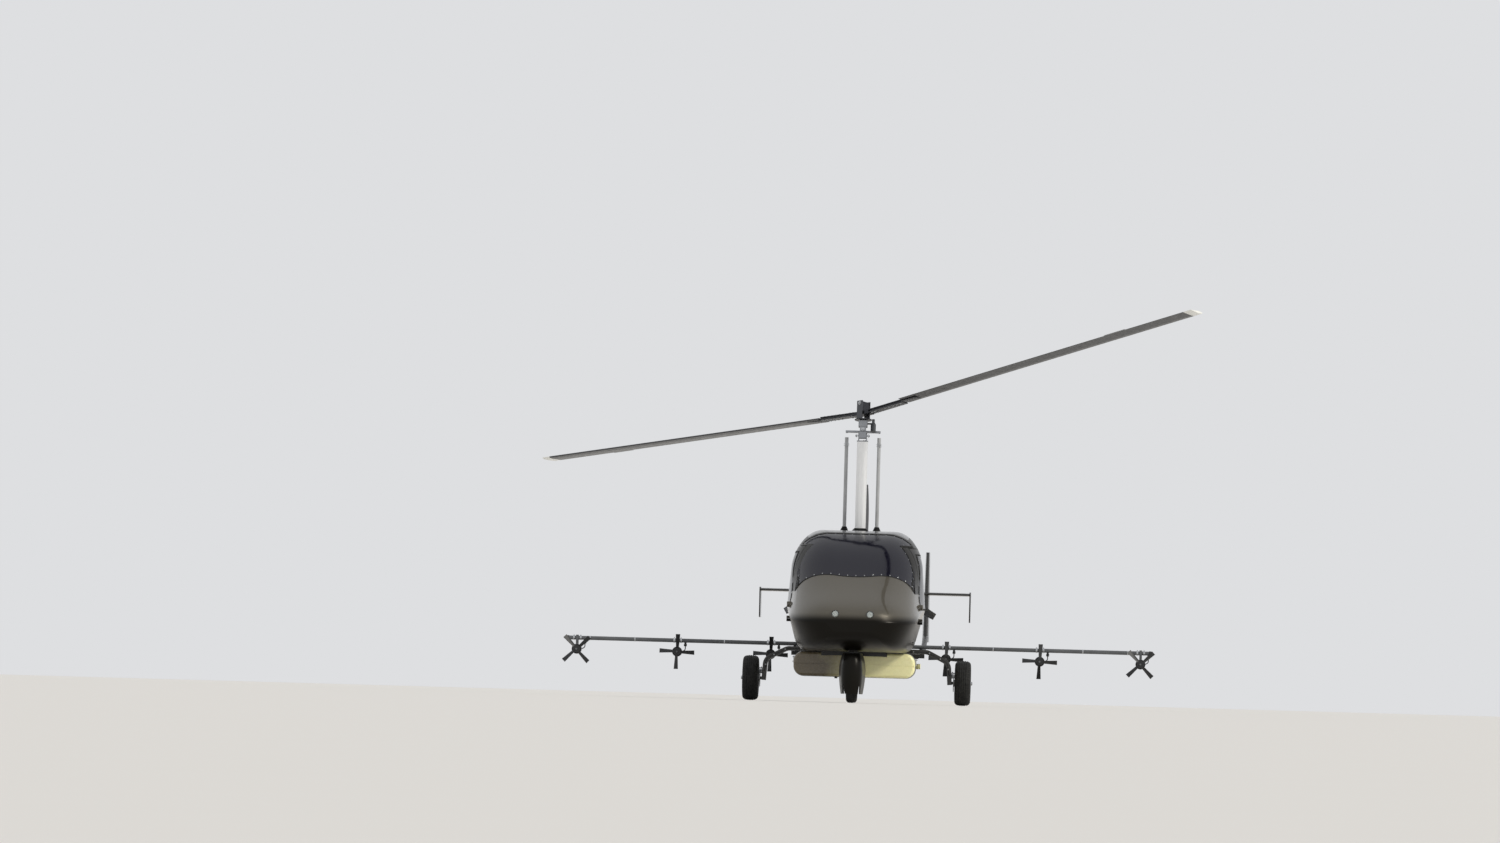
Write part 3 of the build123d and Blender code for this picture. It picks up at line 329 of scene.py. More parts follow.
def powder_coat(name, colour, roughness=0.42):
    """Baked powder coating: an even satin with a fine pebbled skin, features near 1.2 mm."""
    material, tree, surface, where = start_material(name, colour, 0.0, roughness)
    vary_colour(tree, surface, noise(tree, where, 90 * MM, 4.0), shade(colour, 0.88), shade(colour, 1.15))
    vary_roughness(tree, surface, noise(tree, where, 25 * MM, 3.0), roughness * 0.85, roughness * 1.2)
    raise_surface(tree, surface, noise(tree, where, 1.2 * MM, 2.0), 0.05 * MM)
    return material


def drawn_alloy(name, colour, roughness=0.3, metallic=1.0, along="Z", line=1.5 * MM):
    """Drawn or brushed metal: fine lines along the piece, drawn coarse enough to show."""
    material, tree, surface, where = start_material(name, colour, metallic, roughness)
    stretch = [1.0, 1.0, 1.0]
    stretch["XYZ".index(along)] = 0.02
    lines = add_node(tree, "ShaderNodeMapping", {"Scale": stretch}, {"Vector": where})
    grain = noise(tree, lines.outputs["Vector"], line, 3.0, 0.6)
    vary_colour(tree, surface, grain, shade(colour, 0.88), shade(colour, 1.06))
    vary_roughness(tree, surface, grain, roughness * 0.8, roughness * 1.35)
    raise_surface(tree, surface, grain, 0.03 * MM)
    return material


def cast_alloy(name, colour, roughness=0.5):
    """Sand-cast metal: dull, with a rough skin of about 2 mm grain and a tone that drifts at random over about
    45 mm.
    """
    material, tree, surface, where = start_material(name, colour, 0.9, roughness)
    grain = noise(tree, where, 2 * MM, 4.0, 0.6)
    vary_colour(tree, surface, noise(tree, where, 45 * MM, 5.0), shade(colour, 0.7), shade(colour, 1.1))
    vary_roughness(tree, surface, grain, roughness * 0.8, roughness * 1.3)
    raise_surface(tree, surface, grain, 0.15 * MM)
    return material


def bright_steel(name, colour="#b9bbbd", roughness=0.22):
    """Zinc-plated steel of bolts and nuts, or stainless wire of the gauze."""
    material, tree, surface, where = start_material(name, srgb(colour), 1.0, roughness)
    vary_roughness(tree, surface, noise(tree, where, 4 * MM, 4.0), roughness * 0.7, roughness * 1.7)
    return material


def heated_steel(name, colour):
    """Brushed stainless steel gone straw and blue with heat: the tint drifts along the pipe."""
    material, tree, surface, where = start_material(name, colour, 1.0, 0.33)
    drift = noise(tree, where, 120 * MM, 3.0)
    vary_colour(tree, surface, drift, srgb("#5d5a66"), srgb("#a58f6c"), 0.38, 0.62)
    vary_roughness(tree, surface, noise(tree, where, 9 * MM, 4.0), 0.25, 0.45)
    return material


def moulded_tank(name, colour):
    """Rotation-moulded polyethylene: waxy and faintly see-through, with painted shade darkening it towards its
    right end, away from the side sun.
    """
    material, tree, surface, where = start_material(
        name,
        colour,
        0.0,
        0.27,
        Subsurface_Weight=0.08,
        Subsurface_Scale=0.03,
        Coat_Weight=0.3,
        Coat_Roughness=0.2,
    )
    surface.inputs["Subsurface Radius"].default_value = (1.0, 0.8, 0.35)
    place = add_node(tree, "ShaderNodeSeparateXYZ", links={"Vector": where})
    cloud = math_node(tree, "MULTIPLY", noise(tree, where, 300 * MM, 3.0), 0.5)
    # Painted light across X: a painted shade at the tank's right end runs into its pale sunlit tone at the
    # left end, blotched by the cloud
    vary_colour(
        tree, surface, math_node(tree, "ADD", place.outputs["X"], cloud), srgb("#6d6350"), colour, -0.1, 0.5
    )
    vary_roughness(tree, surface, noise(tree, where, 30 * MM, 3.0), 0.22, 0.32)
    raise_surface(tree, surface, noise(tree, where, 40 * MM, 1.0), 0.2 * MM)
    return material


def moulded_plastic(name, colour, roughness=0.5, grain=1.4 * MM):
    """Injection-moulded plastic with a leather-like moulded grain."""
    material, tree, surface, where = start_material(name, colour, 0.0, roughness)
    cells = add_node(
        tree, "ShaderNodeTexVoronoi", {"Scale": 1 / grain}, {"Vector": where}, feature="DISTANCE_TO_EDGE"
    )
    vary_colour(tree, surface, noise(tree, where, 70 * MM, 4.0), shade(colour, 0.85), shade(colour, 1.2))
    raise_surface(tree, surface, cells.outputs["Distance"], 0.12 * MM)
    return material


def tyre_rubber(name, colour):
    """Vulcanised rubber: near-black, dull, with pale dust in random patches."""
    material, tree, surface, where = start_material(name, colour, 0.0, 0.75, Specular_IOR_Level=0.35)
    vary_colour(
        tree,
        surface,
        noise(tree, where, 55 * MM, 6.0, 0.6),
        shade(colour, 0.75),
        shade(colour, 1.9),
        0.4,
        0.75,
    )
    vary_roughness(tree, surface, noise(tree, where, 20 * MM, 4.0), 0.6, 0.88)
    raise_surface(tree, surface, noise(tree, where, 2.2 * MM, 3.0), 0.12 * MM)
    return material


def carbon_laminate(name, colour):
    """Carbon cloth in clear resin: a twill of 3 mm tows, glossy with darker crossings."""
    material, tree, surface, where = start_material(
        name, colour, 0.15, 0.28, Coat_Weight=0.8, Coat_Roughness=0.08
    )
    tow = 3 * MM
    waves = add_node(
        tree,
        "ShaderNodeTexWave",
        {"Scale": WAVE / tow, "Distortion": 0.0},
        {"Vector": where},
        bands_direction="DIAGONAL",
    )
    vary_colour(tree, surface, waves.outputs["Fac"], shade(colour, 0.7), shade(colour, 1.35), 0.2, 0.8)
    return material


def woven_cloth(name, colour, thread=2.2 * MM):
    """Woven seat cloth: a plain weave drawn at 2.2 mm threads, soft at grazing angles."""
    material, tree, surface, where = start_material(
        name, colour, 0.0, 0.85, Sheen_Weight=0.35, Sheen_Roughness=0.5
    )
    warp = add_node(
        tree, "ShaderNodeTexWave", {"Scale": WAVE / thread}, {"Vector": where}, bands_direction="X"
    )
    weft = add_node(
        tree, "ShaderNodeTexWave", {"Scale": WAVE / thread}, {"Vector": where}, bands_direction="Z"
    )
    cross = add_node(
        tree, "ShaderNodeMath", links={0: warp.outputs["Fac"], 1: weft.outputs["Fac"]}, operation="MAXIMUM"
    )
    vary_colour(tree, surface, cross.outputs["Value"], shade(colour, 0.6), shade(colour, 1.35), 0.2, 0.9)
    raise_surface(tree, surface, cross.outputs["Value"], 0.35 * MM)
    return material


def lamp_lens(name):
    """Clear moulded lens of the landing lamps."""
    return start_material(name, srgb("#f4f5f2"), 0.0, 0.03, Transmission_Weight=1.0, IOR=1.49)[0]


def lamp_mirror(name):
    """Vacuum-coated reflector behind the lens."""
    material, tree, surface, where = start_material(name, srgb("#eceeee"), 1.0, 0.08)
    vary_roughness(tree, surface, noise(tree, where, 5 * MM), 0.05, 0.14)
    return material


def worn_blade_paint(name, colour):
    """Satin paint on the rotor blades, rubbed paler in long streaks along the chord."""
    material, tree, surface, where = start_material(
        name, colour, 0.0, 0.34, Coat_Weight=0.2, Coat_Roughness=0.2
    )
    streak = add_node(tree, "ShaderNodeMapping", {"Scale": (1.0, 0.25, 1.0)}, {"Vector": where})
    vary_colour(
        tree,
        surface,
        noise(tree, streak.outputs["Vector"], 60 * MM, 6.0, 0.65),
        shade(colour, 0.8),
        shade(colour, 1.35),
    )
    vary_roughness(tree, surface, noise(tree, where, 30 * MM, 4.0), 0.26, 0.45)
    return material


FINISHES = {
    # slot of the record: maker, material name, colour, other settings
    "body_paint": (metallic_enamel, "bronze metallic enamel", "body", {}),
    "roof_paint": (plain_enamel, "near-black roof enamel", "roof", {}),
    "tinted_glass": (smoked_glass, "smoked acrylic", "glass", {}),
    "cabin_trim": (moulded_plastic, "grained black ABS", "#1f2022", {"roughness": 0.6}),
    "seat_cover": (woven_cloth, "charcoal woven seat cloth", "#34363b", {}),
    "frame_paint": (powder_coat, "black powder-coated steel", "structure", {}),
    "engine_metal": (cast_alloy, "sand-cast engine alloy", "#8b8d8f", {}),
    "mast_alloy": (
        drawn_alloy, "clear anodised extruded alloy", "mast", {"metallic": 0.3, "roughness": 0.42}
    ),
    "head_alloy": (
        drawn_alloy, "milled alloy of the rotor head", "#9a9c9f", {"along": "X", "roughness": 0.34}
    ),
    "head_steel": (
        drawn_alloy, "black-oxide rotor head steel", "#5b5c5f", {"along": "X", "roughness": 0.36}
    ),
    "hub_alloy": (drawn_alloy, "black anodised hub alloy", "#3a3b3f", {"along": "X", "metallic": 0.8}),
    "rod_paint": (plain_enamel, "light grey rod enamel", "#a9abad", {"roughness": 0.35, "coat": 0.2}),
    "gear_composite": (
        plain_enamel, "painted glass-fibre gear leg", "#2b2a28", {"roughness": 0.35, "coat": 0.3}
    ),
    "gear_steel": (powder_coat, "black powder-coated fork", "#232425", {}),
    "exhaust_steel": (heated_steel, "heat-tinted stainless exhaust", "#8f8478", {}),
    "tank_plastic": (moulded_tank, "rotation-moulded polyethylene", "tank", {}),
    "strap_steel": (drawn_alloy, "rolled stainless strap", "#8e9092", {"along": "X", "roughness": 0.33}),
    "pump_metal": (cast_alloy, "die-cast pump alloy", "#4b4d50", {}),
    "boom_paint": (powder_coat, "grey powder-coated boom", "boom", {"roughness": 0.38}),
    "tail_paint": (plain_enamel, "dark tail enamel", "tail", {}),
    "blade_finish": (worn_blade_paint, "rubbed charcoal blade paint", "blade", {}),
    "tip_paint": (plain_enamel, "white blade tip enamel", "tip", {"roughness": 0.3, "coat": 0.4}),
    "propeller_carbon": (carbon_laminate, "resin-faced carbon cloth", "#4c4d50", {}),
    "rim_alloy": (cast_alloy, "cast wheel alloy", "#9b9c9d", {"roughness": 0.4}),
    "tyre_rubber": (tyre_rubber, "vulcanised tyre rubber", "rubber", {}),
    "atomiser_plastic": (moulded_plastic, "glass-filled nylon", "#1c1d1f", {"roughness": 0.45}),
    "soft_rubber": (tyre_rubber, "extruded black seal rubber", "#191919", {}),
    "bolt_steel": (bright_steel, "zinc-plated bolt steel", None, {}),
    "gauze_steel": (bright_steel, "stainless wire gauze", None, {"colour": "#8f9194", "roughness": 0.3}),
    "harness_web": (woven_cloth, "black harness webbing", "#1a1a1c", {"thread": 1.6 * MM}),
    "dial_black": (moulded_plastic, "matt dial plastic", "#0f1011", {"roughness": 0.4}),
    "dial_white": (plain_enamel, "white dial paint", "#e6e6e2", {"roughness": 0.5, "coat": 0.0}),
    "screen_glass": (plain_enamel, "dark display glass", "#0b0d12", {"roughness": 0.08, "coat": 1.0}),
    "lamp_glass": (lamp_lens, "moulded lamp lens", None, {}),
    "lamp_clear": (lamp_lens, "clear lamp lens", None, {}),
    "lamp_silver": (lamp_mirror, "vacuum-coated reflector", None, {}),
    "hose_rubber": (moulded_plastic, "black hose rubber", "#17181a", {"roughness": 0.5}),
    "knob_red": (moulded_plastic, "red knob plastic", "#7d1c17", {"roughness": 0.35}),
}


def finish(kind):
    """The material of a finish, made when it is first asked for."""
    maker, name, colour, extra = FINISHES[kind]
    made = bpy.data.materials.get(name)
    if made:
        return made
    if colour is None:
        return maker(name, **extra)
    colour = srgb(colour) if colour.startswith("#") else tuple(
        getattr(bpy.context.scene.gyro_finish, colour)
    )
    return maker(name, colour, **extra)


def frame_at(origin, axis=UP, across=None):
    """A place in space: Z along the axis, X along across as nearly as it can."""
    z = Vector(axis).normalized()
    x = Vector(across) if across is not None else Vector((1, 0, 0)) if abs(z.x) < 0.9 else Vector((0, 1, 0))
    x = (x - z * x.dot(z)).normalized()
    return Matrix.Translation(Vector(origin)) @ Matrix((x, z.cross(x), z)).transposed().to_4x4()


def lathe(bm, spot, profile, steps=32, closed=False):
    """Turns (radius, height) points about the spot's Z."""
    rings = []
    for radius, height in profile:
        count = 1 if radius < 1e-7 else steps
        angles = [2 * math.pi * i / count for i in range(count)]
        rings.append(
            [
                bm.verts.new(spot @ Vector((radius * math.cos(a), radius * math.sin(a), height)))
                for a in angles
            ]
        )
    for low, high in zip(rings, rings[1:] + (rings[:1] if closed else [])):
        for i in range(steps):
            j = (i + 1) % steps
            corners = (low[i % len(low)], low[j % len(low)], high[j % len(high)], high[i % len(high)])
            corners = list(dict.fromkeys(corners))
            if len(corners) > 2:
                bm.faces.new(corners)


def drum(bm, spot, radius, length, bevel=0.0, steps=32):
    """A round bar from the spot along its Z, with bevelled ends."""
    lathe(
        bm,
        spot,
        [
            (0, 0), (radius - bevel, 0), (radius, bevel), (radius, length - bevel),
            (radius - bevel, length), (0, length),
        ],
        steps,
    )


def block(bm, spot, size, bevel=0.0, segments=2):
    """A block centred on the spot, its edges rounded."""
    corners = bmesh.ops.create_cube(bm, size=1.0, matrix=spot @ Matrix.Diagonal((*size, 1)))["verts"]
    if bevel:
        edges = list({edge for corner in corners for edge in corner.link_edges})
        bmesh.ops.bevel(bm, geom=edges, offset=bevel, segments=segments, profile=0.5, affect="EDGES")


def sweep(bm, path, normals, section, closed=False, capped=True):
    """Carries a section of (across, up) points along a path, up being the path's own normal."""
    path = [Vector(p) for p in path]
    count = len(path)
    rings = []
    for i, point in enumerate(path):
        before = path[i - 1] if i or closed else point
        after = path[(i + 1) % count] if i < count - 1 or closed else point
        along = (after - before).normalized()
        up = (normals[i] - along * normals[i].dot(along)).normalized()
        across = along.cross(up)
        rings.append([bm.verts.new(point + across * a + up * u) for a, u in section])
    size = len(section)
    for i in range(count if closed else count - 1):
        low, high = rings[i], rings[(i + 1) % count]
        for k in range(size):
            bm.faces.new((low[k], low[(k + 1) % size], high[(k + 1) % size], high[k]))
    if capped and not closed:
        bm.faces.new(rings[0])
        bm.faces.new(list(reversed(rings[-1])))


def circle_section(radius, sides=10):
    """A round section for a sweep."""
    return [
        (radius * math.cos(2 * math.pi * i / sides), radius * math.sin(2 * math.pi * i / sides))
        for i in range(sides)
    ]


def pad_section(width, height, bevel=0.3):
    """A low section with bevelled top edges, standing on its path."""
    half = width / 2
    return [(-half, 0), (half, 0), (half, height * (1 - bevel)), (half - height * bevel, height),
            (-half + height * bevel, height), (-half, height * (1 - bevel))]


def pipe(bm, path, radius, sides=10, closed=False):
    """A round pipe along a path; its section doesn't twist."""
    path = [Vector(p) for p in path]
    normals = []
    up = None
    for i in range(len(path)):
        along = (path[min(i + 1, len(path) - 1)] - path[max(i - 1, 0)]).normalized()
        if up is None:
            up = along.orthogonal()
        up = (up - along * up.dot(along)).normalized()
        normals.append(up)
    sweep(bm, path, normals, circle_section(radius, sides), closed)


def bend_path(points, radius, steps=6):
    """Straight runs joined by round bends."""
    points = [Vector(p) for p in points]
    path = [points[0]]
    for before, corner, after in zip(points, points[1:], points[2:]):
        a, b = (before - corner), (after - corner)
        cut = min(radius, a.length * 0.45, b.length * 0.45)
        start, end = corner + a.normalized() * cut, corner + b.normalized() * cut
        for i in range(steps + 1):
            t = i / steps
            path.append(start * (1 - t) ** 2 + corner * (2 * t * (1 - t)) + end * t * t)
    return path + [points[-1]]


def hex_head(bm, spot, across, stud=0.0):
    """A hexagon head on its washer, with a stud's end where it is a nut."""
    thin = across * 0.13
    tall = across * 0.6
    corner = across / math.sqrt(3)
    drum(bm, spot, across * 0.86, thin, thin * 0.2, 20)
    lathe(bm, spot, [(0, thin), (corner, thin), (corner, tall * 0.86), (corner * 0.86, tall), (0, tall)], 6)
    if stud:
        drum(bm, spot @ Matrix.Translation((0, 0, tall * 0.9)), across * 0.3, stud, across * 0.05, 14)


def screw_head(bm, spot, radius):
    """A low pan head with its socket."""
    low = radius * 0.35
    lathe(
        bm,
        spot,
        [
            (radius, 0), (radius * 0.96, low * 0.7), (radius * 0.75, low), (radius * 0.4, low),
            (radius * 0.38, low * 0.3), (0, low * 0.3),
        ],
        14,
    )


def new_piece(name, bm, kind, body, angle=38, replaced=()):
    """Turns drawn geometry into a named piece with its finish, riding on its body."""
    bmesh.ops.recalc_face_normals(bm, faces=bm.faces)
    mesh = bpy.data.meshes.new(name)
    bm.to_mesh(mesh)
    bm.free()
    mesh.materials.append(finish(kind))
    mesh.shade_smooth()
    mesh.set_sharp_from_angle(angle=math.radians(angle))
    piece = bpy.data.objects.new(name, mesh)
    bpy.context.scene.collection.objects.link(piece)
    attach(piece, body)
    if replaced:
        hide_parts(*replaced)
    return piece


def skin_of(node):
    """The surface of a CAD node, for finding where fittings sit on it."""
    mesh = frame["nodes"][node].data
    return BVHTree.FromPolygons([v.co for v in mesh.vertices], [tuple(p.vertices) for p in mesh.polygons])


def touch(skin, start, toward):
    """Where a line first meets a surface, and the surface's outward normal there."""
    direction = Vector(toward).normalized()
    spot, normal, _, _ = skin.ray_cast(Vector(start), direction)
    if spot is None:
        raise RuntimeError(f"nothing lies before {tuple(start)} towards {tuple(toward)}")
    return spot, -normal if normal.dot(direction) > 0 else normal


def edge_loop(node, middle):
    """The outer edge of a sheet round a middle point, as ordered points with surface normals."""
    bm = bmesh.new()
    bm.from_mesh(frame["nodes"][node].data)
    bmesh.ops.remove_doubles(bm, verts=bm.verts, dist=0.02 * MM)
    bm.normal_update()
    rims = {}
    for edge in bm.edges:
        if len(edge.link_faces) == 2 and edge.calc_face_angle() > math.radians(50):
            away = (edge.verts[0].co - middle).normalized()
            outer = sorted(edge.link_faces, key=lambda f: f.normal.dot(away))[-1]
            if outer.normal.dot(away) > 0.35:
                for a, b in (edge.verts, reversed(edge.verts)):
                    rims.setdefault(a.index, []).append((b.index, outer.normal.copy()))
    places = {v.index: v.co.copy() for v in bm.verts}
    bm.free()
    loops = []
    left = set(rims)
    while left:
        at = min(left)
        loop = [at]
        left.discard(at)
        while True:
            ahead = [n for n, _ in rims[at] if n in left]
            if not ahead:
                break
            at = ahead[0]
            left.discard(at)
            loop.append(at)
        loops.append(loop)

    def reach(loop):
        return sum((places[a] - places[b]).length for a, b in zip(loop, loop[1:]))

    outer = max(loops, key=reach)
    return [places[i] for i in outer], [rims[i][0][1] for i in outer]


def even_path(points, normals, step):
    """A closed path cut again into even steps, with its normals."""
    points, normals = points + points[:1], normals + normals[:1]
    lengths = [0.0]
    for a, b in zip(points, points[1:]):
        lengths.append(lengths[-1] + (b - a).length)
    count = max(8, round(lengths[-1] / step))
    path, ups, k = [], [], 0
    for i in range(count):
        target = lengths[-1] * i / count
        while lengths[k + 1] < target:
            k += 1
        t = (target - lengths[k]) / max(lengths[k + 1] - lengths[k], 1e-9)
        path.append(points[k].lerp(points[k + 1], t))
        ups.append(normals[k].lerp(normals[k + 1], t).normalized())
    return path, ups


def centre_of(node):
    """The middle of a CAD node's box."""
    low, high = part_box(node)
    return (low + high) / 2


def joint_named(name):
    """A joint's row of the frame."""
    return next(joint for joint in frame["joints"] if joint["name"] == name)


def moved(spot, x, y, z):
    """A place moved along its own axes by millimetres."""
    return spot @ Matrix.Translation((x * MM, y * MM, z * MM))


def on_skin(skin, start, toward, across=None):
    """A place on a surface, its Z along the surface's outward normal."""
    spot, normal = touch(skin, start, toward)
    return frame_at(spot, normal, across)


class GYRO_OT_finishes(bpy.types.Operator):
    """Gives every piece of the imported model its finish"""

    bl_idname = "gyro.finishes"
    bl_label = "Finishes"

    def execute(self, context):
        for part in frame["record"]["subparts"]:
            node = frame["nodes"][part["node"]]
            for place in node.material_slots:
                place.material = finish(part["material_slot"])
        return {"FINISHED"}


def tyre_ring(width, outer_r, rim_r, groove_count, groove_depth):
    """Half sections of a tyre as (across, radius, notched) points, bead to bead."""
    middle = rim_r + (outer_r - rim_r) * 0.52
    rise = outer_r - middle
    power = 2.9

    def crown(x):
        return middle + rise * (1 - abs(2 * x / width) ** power) ** (1 / power)

    band = width * 0.33
    marks = []
    if groove_count:
        gap = 2 * band / (groove_count + 1)
        marks = [-band + gap * (i + 1) for i in range(groove_count)]
    half_groove = width * 0.022
    points = []
    for i in range(9):
        turn = math.radians(-62 + 62 * i / 8)
        x = -width / 2 * math.cos(turn) ** (2 / power)
        drop = middle - rim_r
        points.append((x, middle - drop * abs(math.sin(turn)) ** 0.9 * 1.06, False))
    for i in range(1, 6):
        x = -width / 2 + (width / 2 - band) * (i / 6) ** 1.6
        points.append((x, crown(x), i > 2))
    points.append((-band, crown(band), True))
    edges = sorted([m - half_groove for m in marks] + [m + half_groove for m in marks])
    for low, high in zip(edges[::2], edges[1::2]):
        points += [(low, crown(low), False), (low + MM, crown(low) - groove_depth, False)]
        points += [(high - MM, crown(high) - groove_depth, False), (high, crown(high), False)]
    points.append((band, crown(band), True))
    mirrored = [(-x, r, notched) for x, r, notched in reversed(points) if x < -band - 1e-6]
    return points + mirrored


def add_tyre(bm, centre, width, outer_r, rim_r, blocks, settings):
    """A tyre with ring grooves and notched shoulders about an axle along X."""
    section = tyre_ring(width, outer_r, rim_r, settings.tread_grooves, settings.tread_depth)
    shares = ((0.0, False), (0.7, False), (0.74, True), (0.96, True))
    angles = [(2 * math.pi * (b + share) / blocks, cut) for b in range(blocks) for share, cut in shares]
    rings = []
    for turn, cut in angles:
        out = Vector((0, math.cos(turn), math.sin(turn)))
        ring = []
        for x, radius, notched in section:
            depth = settings.tread_depth * 0.8 if cut and notched else 0.0
            ring.append(bm.verts.new(centre + Vector((x, 0, 0)) + out * (radius - depth)))
        rings.append(ring)
    for ring, following in zip(rings, rings[1:] + rings[:1]):
        for k in range(len(section)):
            m = (k + 1) % len(section)
            bm.faces.new((ring[k], ring[m], following[m], following[k]))


class GYRO_OT_tyres(bpy.types.Operator):
    """Makes the three tyres with grooves and notched shoulders"""

    bl_idname = "gyro.tyres"
    bl_label = "Tyres"

    def execute(self, context):
        sizes = context.scene.gyro_sizes
        for node, rim_node, body, blocks in (
            ("main_tyre_left", "main_rim_left", "main_wheel_left", 48),
            ("main_tyre_right", "main_rim_right", "main_wheel_right", 48),
            ("nose_tyre", "nose_rim", "nose_wheel", 44),
        ):
            low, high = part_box(node)
            rim_low, rim_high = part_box(rim_node)
            rim_r = (rim_high.z - rim_low.z) / 2
            bm = bmesh.new()
            add_tyre(bm, (low + high) / 2, high.x - low.x, (high.z - low.z) / 2, rim_r, blocks, sizes)
            new_piece(f"{node}_tread", bm, "tyre_rubber", body, 32, (node,))
        return {"FINISHED"}


class GYRO_OT_wheel_fittings(bpy.types.Operator):
    """Adds spokes, rim lips, bolts, valves, axle nuts and brakes to the wheels"""

    bl_idname = "gyro.wheel_fittings"
    bl_label = "Wheel fittings"

    def execute(self, context):
        for side, sign in SIDES:
            self.dress_rim(f"main_tyre_{side}", f"main_rim_{side}", f"main_wheel_{side}", 8, sign)
            self.add_axle_nut(side, sign)
            self.add_brake(side, sign)
        self.dress_rim("nose_tyre", "nose_rim", "nose_wheel", 6, 1)
        return {"FINISHED"}

    def dress_rim(self, tyre, node, body, spokes, outboard):
        """Cast spokes on both faces of the web, rolled lips, bolts and the valve."""
        low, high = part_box(tyre)
        centre, half = (low + high) / 2, (high.x - low.x) * 0.4
        rim_low, rim_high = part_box(node)
        rim_r = (rim_high.z - rim_low.z) / 2
        hub_r, well_r, web = 35 * MM, rim_r - 12 * MM, 7 * MM
        cast, steel = bmesh.new(), bmesh.new()
        for face in (1, -1):
            axis = Vector((face, 0, 0))
            lip = [(-13, -2), (-11, 4), (0, 6), (6, 4), (8, 0), (3, -3)]
            lathe(
                cast,
                frame_at(centre + axis * half, axis),
                [(rim_r + r * MM, h * MM) for r, h in lip],
                48,
                True,
            )
            for i in range(spokes):
                out = self.outward(2 * math.pi * i / spokes)
                spoke = frame_at(centre + axis * (web + 10 * MM) + out * (hub_r + well_r) / 2, axis, out)
                block(cast, spoke, (well_r - hub_r + 8 * MM, 11 * MM, 24 * MM), 3 * MM)
                between = self.outward(2 * math.pi * (i + 0.5) / spokes)
                hex_head(
                    steel,
                    frame_at(centre + axis * web + between * (hub_r + 11 * MM), axis),
                    10 * MM,
                    4 * MM,
                )
        axis = Vector((outboard, 0, 0))
        valve = frame_at(centre + axis * web + self.outward(0.35) * (well_r - 9 * MM), axis)
        drum(steel, valve, 3.2 * MM, 30 * MM, 0.5 * MM, 12)
        drum(steel, valve @ Matrix.Translation((0, 0, 22 * MM)), 4.6 * MM, 11 * MM, 1 * MM, 12)
        new_piece(f"{body}_spokes", cast, "rim_alloy", body)
        new_piece(f"{body}_bolts", steel, "bolt_steel", body)

    def outward(self, turn):
        """The way out from the axle at a turn."""
        return Vector((0, math.cos(turn), math.sin(turn)))

    def add_axle_nut(self, side, sign):
        """The nut, washer and split pin on the axle's end."""
        bm = bmesh.new()
        low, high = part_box(f"main_tyre_{side}")
        hub_half = (high.x - low.x) * 0.4 + 8 * MM
        spot = frame_at((low + high) / 2 + Vector((sign * hub_half, 0, 0)), Vector((sign, 0, 0)))
        hex_head(bm, spot, 36 * MM)
        lathe(
            bm,
            spot,
            [(0, 19 * MM), (15 * MM, 19 * MM), (15 * MM, 23 * MM), (13 * MM, 25 * MM), (0, 25 * MM)],
            20,
        )
        pin = [spot @ Vector((x, 0, 14 * MM)) for x in (-26 * MM, 26 * MM)]
        pipe(bm, pin, 1.6 * MM, 6)
        new_piece(f"axle_nut_{side}", bm, "bolt_steel", "airframe")

    def add_brake(self, side, sign):
        """A caliper over the brake disc, with its pipe clipped along the bow."""
        wheel = centre_of(f"main_tyre_{side}")
        disc_x = wheel.x - sign * 92 * MM
        front_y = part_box("main_gear_bow")[0].y - 5 * MM
        cast, hose = bmesh.new(), bmesh.new()
        for offset, radius, size in (
            (-14, 68, (18, 62, 46)), (11, 68, (12, 56, 42)), (-3, 99, (40, 50, 11))
        ):
            place = Vector((disc_x + sign * offset * MM, wheel.y, wheel.z + radius * MM))
            block(cast, frame_at(place), [s * MM for s in size], 4 * MM)
        for y in (-16 * MM, 16 * MM):
            hex_head(
                cast, frame_at((disc_x - sign * 12 * MM, wheel.y + y, wheel.z + 104 * MM)), 9 * MM, 5 * MM
            )
        route = [(920, 300), (908, 425), (700, 527), (350, 527), (318, 512)]
        start = Vector((disc_x - sign * 16 * MM, wheel.y - 30 * MM, wheel.z + 72 * MM))
        points = [start] + [Vector((sign * x * MM, front_y, z * MM)) for x, z in route]
        pipe(hose, bend_path(points, 40 * MM), 3.6 * MM, 8)
        for x, z in ((912, 360), (830, 462), (720, 517), (560, 527), (400, 527)):
            block(
                cast,
                frame_at((sign * x * MM, front_y + 1 * MM, z * MM)),
                (14 * MM, 11 * MM, 14 * MM),
                2 * MM,
            )
        new_piece(f"brake_caliper_{side}", cast, "head_alloy", "airframe")
        new_piece(f"brake_pipe_{side}", hose, "hose_rubber", "airframe")


def pad_blank(spot, size, top_share, crown):
    """A crowned closed pad: width and length in the plane, sides pulled in, narrower at its top."""
    bm = bmesh.new()
    bmesh.ops.create_cube(bm, size=2.0)
    bmesh.ops.subdivide_edges(bm, edges=bm.edges, cuts=9, use_grid_fill=True)
    for vert in bm.verts:
        u, v, w = vert.co
        taper = 1 + (top_share - 1) * (v + 1) / 2
        edge = (1 - abs(u) ** 5) * (1 - abs(v) ** 5)
        side = 0.55 + 0.45 * max(edge, 0.0) ** 0.5
        rise = crown * (1 - u * u) * (1 - v * v) if w > 0 else 0.0
        x = size[0] / 2 * u * taper * (1 - 0.035 * (1 - v * v))
        y = size[1] / 2 * v * (1 - 0.03 * (1 - u * u))
        vert.co = spot @ Vector((x, y, size[2] / 2 * w * side + rise))
    return bm


